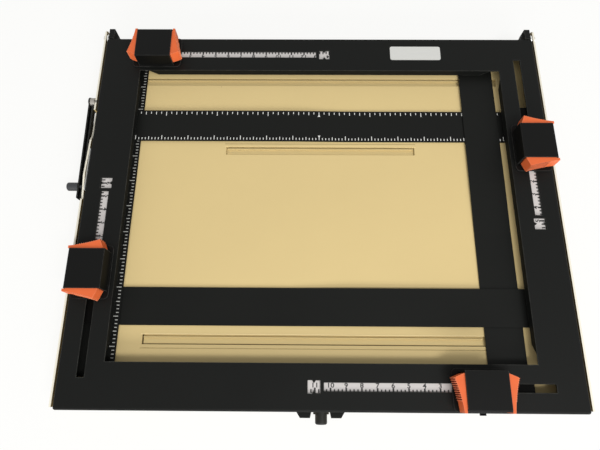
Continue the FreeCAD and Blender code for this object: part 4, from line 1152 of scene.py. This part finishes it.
@dataclass
class BladeScales:
    """White graduations along the edges of the rear and left blades.

    Attributes:
        easel: The easel's places.
        slope_half: Half the length over which a blade rises.
        slope_drop: How far the blade's foot side lies below its free side.
        edge_gap: From the blade's edge to the marks.
        width: Width of a mark.
        short: Length of a short mark.
        medium: Length of a medium mark.
        arrow_long: From the blade's edge to a centre arrow's tip.
        arrow_wide: Width of a centre arrow's head.
        arrow_head: Length of its head.
        inches: The rear blade's front row.
        metric: The rear blade's rear row.
        side_inches: The left blade's row.
    """

    easel: Easel
    slope_half: float = 24.5 * MM
    slope_drop: float = 1.1 * MM
    edge_gap: float = 1.4 * MM
    width: float = 0.7 * MM
    short: float = 2.2 * MM
    medium: float = 3.1 * MM
    arrow_long: float = 6.2 * MM
    arrow_wide: float = 2.6 * MM
    arrow_head: float = 1.8 * MM
    inches: Ruling = Ruling(INCH / 8, 57, 4.0, 8.0, 4.3 * MM)
    metric: Ruling = Ruling(5 * MM, 36, 2.0, 10.0, 4.3 * MM, foot_first=True)
    side_inches: Ruling = Ruling(INCH / 8, 46, 4.0, 8.0, 4.6 * MM)

    def row(self, name: str, body: str, place: Matrix, ink: Finish, ruling: Ruling) -> None:
        """Make one row of marks, even about the middle of the opening.

        Args:
            name: The piece's name.
            body: The body that carries it.
            place: The move from the row's axes to the easel.
            ink: The marks' finish.
            ruling: How the row is divided.
        """
        ends = (-self.slope_drop, 0.0) if ruling.foot_first else (0.0, -self.slope_drop)
        Graduations().piece(
            name, body, place, ink, Count=2 * ruling.each_way + 1,
            First=-ruling.each_way * ruling.step, Step=ruling.step,
            Phase=int(-ruling.each_way % ruling.long_every), Medium_Every=ruling.medium_every,
            Long_Every=ruling.long_every, Short=self.short, Medium=self.medium, Long=ruling.long,
            Width=self.width, Heavy_Width=self.width, Inset=self.edge_gap, Start_Height=ends[0],
            End_Height=ends[1], Slope_Half=self.slope_half)

    def arrows(self) -> None:
        """Make the two centre arrows of the rear blade."""
        low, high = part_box("blade_rear")
        middle = self.easel.centre()
        floor = middle.z - self.slope_drop / 2 - INK_PROUD
        half, head = self.width / 2, self.arrow_wide / 2
        shell = Shell()
        for edge, inward in ((low[1], 1), (high[1], -1)):
            start = edge + inward * self.edge_gap
            end = edge + inward * self.arrow_long
            neck = end - inward * self.arrow_head
            outline = ((-half, start), (half, start), (half, neck), (head, end), (-head, end),
                       (-half, neck))
            shell.skin([[Vector((middle.x + x, y, z)) for x, y in outline]
                        for z in (floor, floor + 3 * INK_PROUD)])
        new_piece("rear_blade_arrows", shell.mesh("rear_blade_arrows"), "slider_right",
                  Finishes.white_ink)

    def build(self) -> None:
        """Make every row and the arrows."""
        middle = self.easel.centre()
        low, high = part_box("blade_rear")
        front = Matrix.Translation((middle.x, low[1], middle.z))
        rear = Matrix.Translation((middle.x, high[1], middle.z)) @ Matrix.Rotation(math.pi, 4, "Z")
        self.row("rear_blade_inches", "slider_right", front, Finishes.white_ink, self.inches)
        self.row("rear_blade_metric", "slider_right", rear, Finishes.white_ink, self.metric)
        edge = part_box("blade_left")[1][0]
        left = (Matrix.Translation((edge, middle.y, middle.z))
                @ Matrix.Rotation(math.pi / 2, 4, "Z"))
        self.row("left_blade_inches", "slider_rear", left, Finishes.faded_ink, self.side_inches)
        self.arrows()


@dataclass
class TapePrint:
    """Black marks and numerals on one slider's tape.

    Attributes:
        easel: The easel's places.
        side: The side that the slider runs on.
        window: Size of the square window.
        spare: How far the tape runs past its window when the slider is open.
        per_number: Slider travel from one number to the next.
        marks: Marks from one number to the next.
        end_room: From an end of the tape to the nearest mark, at least.
        number_room: From the last mark to the nearest number, as a share of a number's room.
        digit_high: Height of a numeral.
        digit_base: From the tape's outer edge to the numerals' feet.
        digit_bold: How far a numeral's strokes are widened each way.
        digit_wide: How much wider than the font a numeral is.
        digit_share: Height of a numeral as a share of the font's size.
    """

    easel: Easel
    side: Side
    window: float = 10.3 * MM
    spare: float = 1.2 * MM
    per_number: float = 12.7 * MM
    marks: int = 4
    end_room: float = 1.0 * MM
    number_room: float = 0.1
    digit_high: float = 3.6 * MM
    digit_base: float = 4.5 * MM
    digit_bold: float = 0.10 * MM
    digit_wide: float = 1.2
    digit_share: float = 0.7

    def travel(self) -> float:
        """Return how far the slider can still open."""
        name = f"slider_{self.side.label}_travel"
        return next(joint["range_m"][1] for joint in frame["joints"] if joint["name"] == name)

    def place_of(self, number: float) -> float:
        """Return where a number lies along the tape.

        Args:
            number: The number.

        Returns:
            Its place in the side's own axes.
        """
        tail = self.side.box(self.easel, f"tape_{self.side.label}")[0].x
        window = tail + self.travel() + self.spare + self.window / 2
        blade_edge = self.side.box(self.easel, self.side.blade)[0].x
        return window + blade_edge - number * self.per_number

    def digits(self, number: int) -> Mesh:
        """Make a number as a thin closed mesh.

        Args:
            number: The number.

        Returns:
            The mesh on the XY plane, centred over its foot.
        """
        curve = bpy.data.curves.new("numeral", "FONT")
        curve.body = str(number)
        curve.align_x = "CENTER"
        curve.size = self.digit_high / self.digit_share
        curve.offset = self.digit_bold
        curve.extrude = INK_PROUD
        curve.resolution_u = 3
        widen = Matrix.Diagonal((self.digit_wide, 1.0, 1.0, 1.0))
        mesh = plain_mesh(shown("numeral", curve), "numeral", widen)
        mesh.materials.clear()
        bpy.data.curves.remove(curve)
        return mesh

    def numerals(self, body: str, numbers: range, place: Matrix) -> None:
        """Make one piece of all the numerals on the tape.

        Args:
            body: The body that carries it.
            numbers: The numbers printed.
            place: The move from the tape's outer edge to the easel.
        """
        made = bmesh.new()
        for number in numbers:
            flat = self.digits(number)
            spot = Matrix.Translation((self.place_of(number), self.digit_base, 0))
            flat.transform(place @ spot)
            made.from_mesh(flat)
            bpy.data.meshes.remove(flat)
        name = f"tape_numerals_{self.side.label}"
        mesh = bpy.data.meshes.new(name)
        made.to_mesh(mesh)
        made.free()
        new_piece(name, mesh, body, Finishes.black_ink)

    def build(self) -> None:
        """Make the marks and the numerals."""
        low, high = self.side.box(self.easel, f"tape_{self.side.label}")
        place = self.side.matrix(self.easel) @ Matrix.Translation((0, low.y, high.z))
        step = self.per_number / self.marks
        zero = self.place_of(0.0)
        last = math.floor((zero - low.x - self.end_room) / step)
        first = math.ceil((zero - high.x + self.end_room) / step)
        body = f"slider_{self.side.label}"
        Graduations().piece(
            f"tape_marks_{self.side.label}", body, place, Finishes.black_ink,
            Count=last - first + 1, First=zero - last * step, Step=step, Phase=-last % self.marks,
            Medium_Every=2.0, Long_Every=4.0, Short=3.0 * MM, Medium=3.1 * MM, Long=4.1 * MM,
            Width=1.1 * MM, Heavy_Width=1.4 * MM, Inset=0.2 * MM, **Graduations.level)
        start = math.ceil(first / self.marks + self.number_room)
        end = math.floor(last / self.marks - self.number_room)
        self.numerals(body, range(start, end + 1), place)


@dataclass
class LeverGrips:
    """Moulded ribs, with a dark ground of painted shade between them, on the hollow faces of one
    slider's two levers.

    Attributes:
        easel: The easel's places.
        side: The side that the slider runs on.
        hollow_radius: Radius of the hollow.
        hollow_x: Middle of the hollow's circle along the travel, from the slider's middle.
        hollow_out: The same, outward from the opening's edge.
        start_out: Where the ribs start, outward from the opening's edge.
        end_out: Where they end.
        ribs: How many ribs a lever has.
        rib_radius: Half the thickness of a rib.
        rib_proud: How much deeper than thick a rib is.
        sunk: How deep a rib's axis lies in the face.
        line_steps: Straight steps of the line that the ribs stand on.
        margin: From a rib's ends to the lever's faces.
        ground_over: How far the ground runs past the ribs' axes.
        ground_steps: Straight steps of the ground.
        gap_proud: How far the ground stands out of the face.
    """

    easel: Easel
    side: Side
    hollow_radius: float = 115.0 * MM
    hollow_x: float = 134.13 * MM
    hollow_out: float = 47.16 * MM
    start_out: float = 10.8 * MM
    end_out: float = 27.6 * MM
    ribs: int = 11
    rib_radius: float = 0.42 * MM
    rib_proud: float = 2.0
    sunk: float = 0.02 * MM
    line_steps: int = 8
    margin: float = 0.15 * MM
    ground_over: float = 0.4 * MM
    ground_steps: int = 24
    gap_proud: float = 0.05 * MM

    def face_at(self, out: float, mirror: int, off: float) -> tuple[float, float]:
        """Return a point on or beside the hollow, in the side's own axes from the slider's middle.

        Args:
            out: How far outward it lies.
            mirror: 1 for the lever on the travel's side, -1 for the other.
            off: How far off the face it lies, along the circle's radius.

        Returns:
            Its X and Y.
        """
        reach = math.sqrt((self.hollow_radius + off) ** 2 - (out - self.hollow_out) ** 2)
        return mirror * (self.hollow_x - reach), -out

    def face_line(self, mirror: int) -> Mesh:
        """Return the line that the ribs' axes stand on.

        Args:
            mirror: 1 for the lever on the travel's side, -1 for the other.

        Returns:
            A mesh of edges along the hollow.
        """
        steps = range(self.line_steps + 1)
        outs = [self.start_out + (self.end_out - self.start_out) * step / self.line_steps
                for step in steps]
        mesh = bpy.data.meshes.new("face_line")
        mesh.from_pydata([(*self.face_at(out, mirror, self.sunk), 0.0) for out in outs],
                         [(i, i + 1) for i in steps[:-1]], [])
        return mesh

    def ground(self, name: str, mirror: int, high: float, place: Matrix) -> Mesh:
        """Return the thin curved ground of painted shade that the ribs stand on.

        Args:
            name: The mesh's name.
            mirror: 1 for the lever on the travel's side, -1 for the other.
            high: Its height.
            place: The move from the side's own axes to the easel.

        Returns:
            A closed mesh along the hollow.
        """
        start, end = self.start_out - self.ground_over, self.end_out + self.ground_over
        rings = []
        for step in range(self.ground_steps + 1):
            out = start + (end - start) * step / self.ground_steps
            rings.append([
                place @ Vector((*self.face_at(out, mirror, way * self.gap_proud), z * high / 2))
                for way, z in ((1, -1), (1, 1), (-1, 1), (-1, -1))])
        shell = Shell()
        shell.skin(rings)
        return shell.mesh(name)

    def build(self) -> None:
        """Make the ribs and the painted-shade ground of both levers."""
        move = self.side.matrix(self.easel)
        inverse = move.inverted()
        cap = [inverse @ Vector(corner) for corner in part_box(f"cap_{self.side.label}")]
        middle = (cap[0].x + cap[1].x) / 2
        for letter, mirror in (("a", 1), ("b", -1)):
            node = f"lever_{letter}_{self.side.label}"
            low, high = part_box(node)
            level = (low[2] + high[2]) / 2 - self.easel.centre().z
            place = move @ Matrix.Translation((middle, 0, level))
            rise = high[2] - low[2] - 2 * self.margin
            name = f"grip_ribs_{letter}_{self.side.label}"
            mesh = GripRibs().mesh(
                name, place, self.face_line(mirror), Count=self.ribs, Radius=self.rib_radius,
                Proud=self.rib_proud, Height=rise, Finish=Finishes.rib_orange.material())
            for face in mesh.polygons:
                face.use_smooth = False
            new_piece(name, mesh, node, Finishes.rib_orange)
            # The ground is a thin dark sheet of painted shade between the ribs.
            name = f"grip_ground_{letter}_{self.side.label}"
            new_piece(name, self.ground(name, mirror, rise, place), node, Finishes.gap_orange)


@dataclass
class MarginScale:
    """Fine dark graduations on the small scale beside the margin lever.

    Attributes:
        step: From one mark to the next.
    """

    step: float = 2.0 * MM

    def build(self) -> None:
        """Make the row of marks."""
        low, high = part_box("margin_scale")
        turn = Matrix(((0, 0, 1, high[0]), (1, 0, 0, low[1]), (0, 1, 0, low[2]), (0, 0, 0, 1)))
        Graduations().piece(
            "margin_scale_marks", "base", turn, Finishes.black_ink,
            Count=int((high[1] - low[1]) / self.step) - 1, First=self.step, Step=self.step,
            Phase=0, Medium_Every=5.0, Long_Every=10.0, Short=1.4 * MM, Medium=2.0 * MM,
            Long=2.8 * MM, Width=0.35 * MM, Heavy_Width=0.45 * MM, Inset=0.3 * MM,
            **Graduations.level)


@dataclass
class HingeSpacers:
    """Turned spacers on the hinge pins, between the brackets and the rails.

    Attributes:
        bore: Radius of the bore.
        radius: Outer radius.
        chamfer: Size of the chamfers.
        play: Room at each end.
        groove: Depth of the groove round the middle.
        rail_sheet: Thickness of a rail.
        faces: Faces round the spacer.
    """

    bore: float = 2.2 * MM
    radius: float = 5.3 * MM
    chamfer: float = 0.4 * MM
    play: float = 0.25 * MM
    groove: float = 0.35 * MM
    rail_sheet: float = 1.6 * MM
    faces: int = 40

    def profile(self, start: float, end: float) -> tuple[tuple[float, float], ...]:
        """Return the outline of a spacer's half section.

        Args:
            start: Its left end.
            end: Its right end.

        Returns:
            Places along the axis, each with its radius.
        """
        middle, cut = (start + end) / 2, self.radius - self.chamfer
        return ((start, self.bore), (start, cut), (start + self.chamfer, self.radius),
                (middle - self.chamfer, self.radius), (middle, self.radius - self.groove),
                (middle + self.chamfer, self.radius), (end - self.chamfer, self.radius),
                (end, cut), (end, self.bore))

    def build(self) -> None:
        """Make both spacers as one piece."""
        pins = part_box("hinge_pins")
        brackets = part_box("hinge_brackets")
        axis = Vector((0.0, (pins[0][1] + pins[1][1]) / 2, (pins[0][2] + pins[1][2]) / 2))
        left = (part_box("side_rail_left")[0][0] + self.rail_sheet, brackets[0][0])
        right = (brackets[1][0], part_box("side_rail_right")[1][0] - self.rail_sheet)
        turns = [math.tau * i / self.faces for i in range(self.faces)]
        shell = Shell()
        for start, end in (left, right):
            shell.skin([[axis + Vector((x, radius * math.cos(turn), radius * math.sin(turn)))
                         for turn in turns]
                        for x, radius in self.profile(start + self.play, end - self.play)], True)
        new_piece("hinge_spacers", shell.mesh("hinge_spacers"), "base", Finishes.plated)


@dataclass(frozen=True)
class Strip:
    """One long strip on the tray, from the middle of the opening.

    Attributes:
        left: Its left end.
        right: Its right end.
        front: Its front edge.
        rear: Its rear edge.
    """

    left: float
    right: float
    front: float
    rear: float


@dataclass
class SlotRims:
    """Low rims pressed up beside the slots of the stops, each with a fine crease along it.

    Attributes:
        easel: The easel's places.
        rise: How far a rim stands over the tray.
        crease_rise: The same for a crease.
        soft: How far a strip's sides lean in.
        rims: The rims.
        creases: The creases, painted darker as painted shade.
        glints: The rims that carry a painted highlight.
    """

    easel: Easel
    rise: float = 0.14 * MM
    crease_rise: float = 0.06 * MM
    soft: float = 0.12 * MM
    rims: tuple[Strip, ...] = (Strip(-0.1535, 0.1630, -0.12755, -0.12485),
                               Strip(-0.0908, 0.0927, 0.0616, 0.0642))
    creases: tuple[Strip, ...] = (Strip(-0.1535, 0.1630, -0.1283, -0.12765),
                                  Strip(-0.0908, 0.0927, 0.0643, 0.0649))
    glints: tuple[Strip, ...] = (Strip(-0.1535, 0.1630, -0.11645, -0.11555),)

    def strips(self, name: str, places: tuple[Strip, ...], rise: float, finish: Finish) -> None:
        """Make one piece of several strips with leaning sides.

        Args:
            name: The piece's name.
            places: The strips.
            rise: Their height.
            finish: Their finish.
        """
        tray = self.easel.centre()
        tray.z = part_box("base_tray")[1][2]
        shell = Shell()
        for strip in places:
            rings = []
            for height, lean in ((-rise, 0.0), (0.0, 0.0), (rise, self.soft)):
                left, right = strip.left + lean, strip.right - lean
                front, rear = strip.front + lean, strip.rear - lean
                corners = ((left, front), (right, front), (right, rear), (left, rear))
                rings.append([tray + Vector((x, y, height)) for x, y in corners])
            shell.skin(rings)
        new_piece(name, shell.mesh(name), "base", finish)

    def build(self) -> None:
        """Make the rims, the creases in painted shade and the rims with a painted highlight."""
        self.strips("slot_rims", self.rims, self.rise, Finishes.tray_beige)
        # The creases carry painted shade.
        self.strips("slot_creases", self.creases, self.crease_rise, Finishes.line_beige)
        # The glints carry a painted highlight.
        self.strips("slot_glints", self.glints, self.rise, Finishes.edge_beige)


# ----------------------------------------------------------------------- studio

@dataclass(frozen=True)
class Panel:
    """A soft panel that shines on the easel.

    Attributes:
        name: Its name.
        power: Its power in watts.
        far: How far it is from the easel.
        side: Where it stands, as a direction from the easel.
        size: Its width and height.
        colour: Linear colour of its light.
    """

    name: str
    power: float
    far: float
    side: tuple[float, float, float]
    size: tuple[float, float]
    colour: Colour = (1.0, 0.995, 0.98)

    def build(self, centre: Vector) -> None:
        """Make the panel.

        Args:
            centre: What it faces.
        """
        data = bpy.data.lights.new(self.name, "AREA")
        data.shape = "RECTANGLE"
        data.size, data.size_y = self.size
        data.energy = self.power
        data.color = self.colour
        lamp = shown(self.name, data)
        away = Vector(self.side).normalized()
        lamp.location = centre + away * self.far
        lamp.rotation_mode = "QUATERNION"
        lamp.rotation_quaternion = away.to_track_quat("Z", "Y")


@dataclass
class Studio:
    """Pale floor, soft light and the camera.

    Attributes:
        easel: The easel's places.
        lens: Focal length in millimetres on a sensor 36 mm wide.
        spot: The camera's place, from the middle of the opening.
        pitch: Angle of its line of sight below the horizon, in radians.
        yaw: Turn of its line of sight from the rear towards the right, in radians.
        roll: Its roll, in radians.
        sky: Strength of the light from all round.
        backdrop: Brightness of the white that the camera sees.
        white: Linear colour of that white.
        paper: Linear colour of the floor.
        floor_half: Half the floor's width.
        floor_glow: Share of the white that the floor shows by itself.
        lamps: The main lamp over the front right corner, and the wide low panel in front.
    """

    easel: Easel
    lens: float = 29.525
    spot: tuple[float, float, float] = (-0.01399, -0.15398, 0.42770)
    pitch: float = 1.26322
    yaw: float = -0.02806
    roll: float = -0.02146
    sky: float = 0.42
    backdrop: float = 1.0
    white: Colour = (1.0, 1.0, 0.985)
    paper: Colour = (0.93, 0.93, 0.925)
    floor_half: float = 6.0
    floor_glow: float = 0.86
    lamps: tuple[Panel, ...] = (
        Panel("main_lamp", 19.0, 2.0, (0.40, -0.62, 1.0), (1.0, 0.30)),
        Panel("front_panel", 40.0, 2.4, (0.12, -1.0, 0.42), (2.4, 0.8)))

    def camera(self) -> None:
        """Make the camera."""
        data = bpy.data.cameras.new("camera")
        data.lens = self.lens
        data.sensor_width = 36.0
        data.clip_start, data.clip_end = 0.01, 50.0
        ahead = Vector((math.sin(self.yaw) * math.cos(self.pitch),
                        math.cos(self.yaw) * math.cos(self.pitch), -math.sin(self.pitch)))
        level = Vector((math.cos(self.yaw), -math.sin(self.yaw), 0.0))
        above = level.cross(ahead)
        right = level * math.cos(self.roll) + above * math.sin(self.roll)
        up = above * math.cos(self.roll) - level * math.sin(self.roll)
        turn = Matrix((right, up, -ahead)).transposed().to_4x4()
        camera = shown("camera", data)
        camera.matrix_world = Matrix.Translation(self.easel.centre() + Vector(self.spot)) @ turn
        bpy.context.scene.camera = camera

    def seen(self, nodes: Wiring) -> Socket:
        """Return 1 for rays that show the backdrop itself, and 0 for light.

        Args:
            nodes: The world's nodes.

        Returns:
            The share's socket.
        """
        path = nodes.add("ShaderNodeLightPath")
        direct = nodes.calc("ADD", path["Is Camera Ray"], path["Is Glossy Ray"])
        both = nodes.calc("ADD", direct, path["Is Transmission Ray"])
        return nodes.calc("MINIMUM", both, 1.0)

    def world(self) -> None:
        """Make the even light from all round, white where it is seen."""
        world = bpy.data.worlds.new("studio")
        bpy.context.scene.world = world
        world.use_nodes = True
        nodes = Wiring(world.node_tree)
        sky = world.node_tree.nodes["Background"]
        nodes.put(sky.inputs["Color"], (1.0, 1.0, 1.0))
        nodes.put(sky.inputs["Strength"], self.sky)
        white = nodes.add("ShaderNodeBackground", {"Color": self.white, "Strength": self.backdrop})
        mix = nodes.add("ShaderNodeMixShader", {
            0: self.seen(nodes), 1: sky.outputs[0], 2: white[0]})
        nodes.put(world.node_tree.nodes["World Output"].inputs["Surface"], mix[0])

    def floor(self) -> None:
        """Make the pale floor, which keeps a faint shadow."""
        mesh = bpy.data.meshes.new("floor")
        half = self.floor_half
        mesh.from_pydata([(-half, -half, 0), (half, -half, 0), (half, half, 0), (-half, half, 0)],
                         [], [(0, 1, 2, 3)])
        floor = shown("floor", mesh)
        material = bpy.data.materials.new("floor_paper")
        material.use_nodes = True
        nodes = Wiring(material.node_tree)
        paper = material.node_tree.nodes["Principled BSDF"]
        nodes.put(paper.inputs["Base Color"], self.paper)
        paper.inputs["Roughness"].default_value = 0.9
        paper.inputs["Specular IOR Level"].default_value = 0.1
        glow = nodes.add("ShaderNodeEmission", {"Color": self.white, "Strength": 1.0})
        path = nodes.add("ShaderNodeLightPath")
        share = nodes.calc("MULTIPLY", path["Is Camera Ray"], self.floor_glow)
        mix = nodes.add("ShaderNodeMixShader", {0: share, 1: paper.outputs[0], 2: glow[0]})
        nodes.put(material.node_tree.nodes["Material Output"].inputs["Surface"], mix[0])
        mesh.materials.append(material)

    def build(self) -> None:
        """Make everything round the easel."""
        bpy.context.scene.view_settings.view_transform = "Standard"
        self.camera()
        self.world()
        self.floor()
        for lamp in self.lamps:
            lamp.build(self.easel.centre())


def main() -> None:
    """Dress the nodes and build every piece."""
    logging.basicConfig(level=logging.INFO, format="%(name)s: %(message)s")
    easel = Easel()
    Studio(easel).build()
    dress_nodes()
    BladeScales(easel).build()
    for side in Side:
        TapePrint(easel, side).build()
        LeverGrips(easel, side).build()
    MarginScale().build()
    SlotRims(easel).build()
    HingeSpacers().build()


if __name__ == "__main__":
    main()
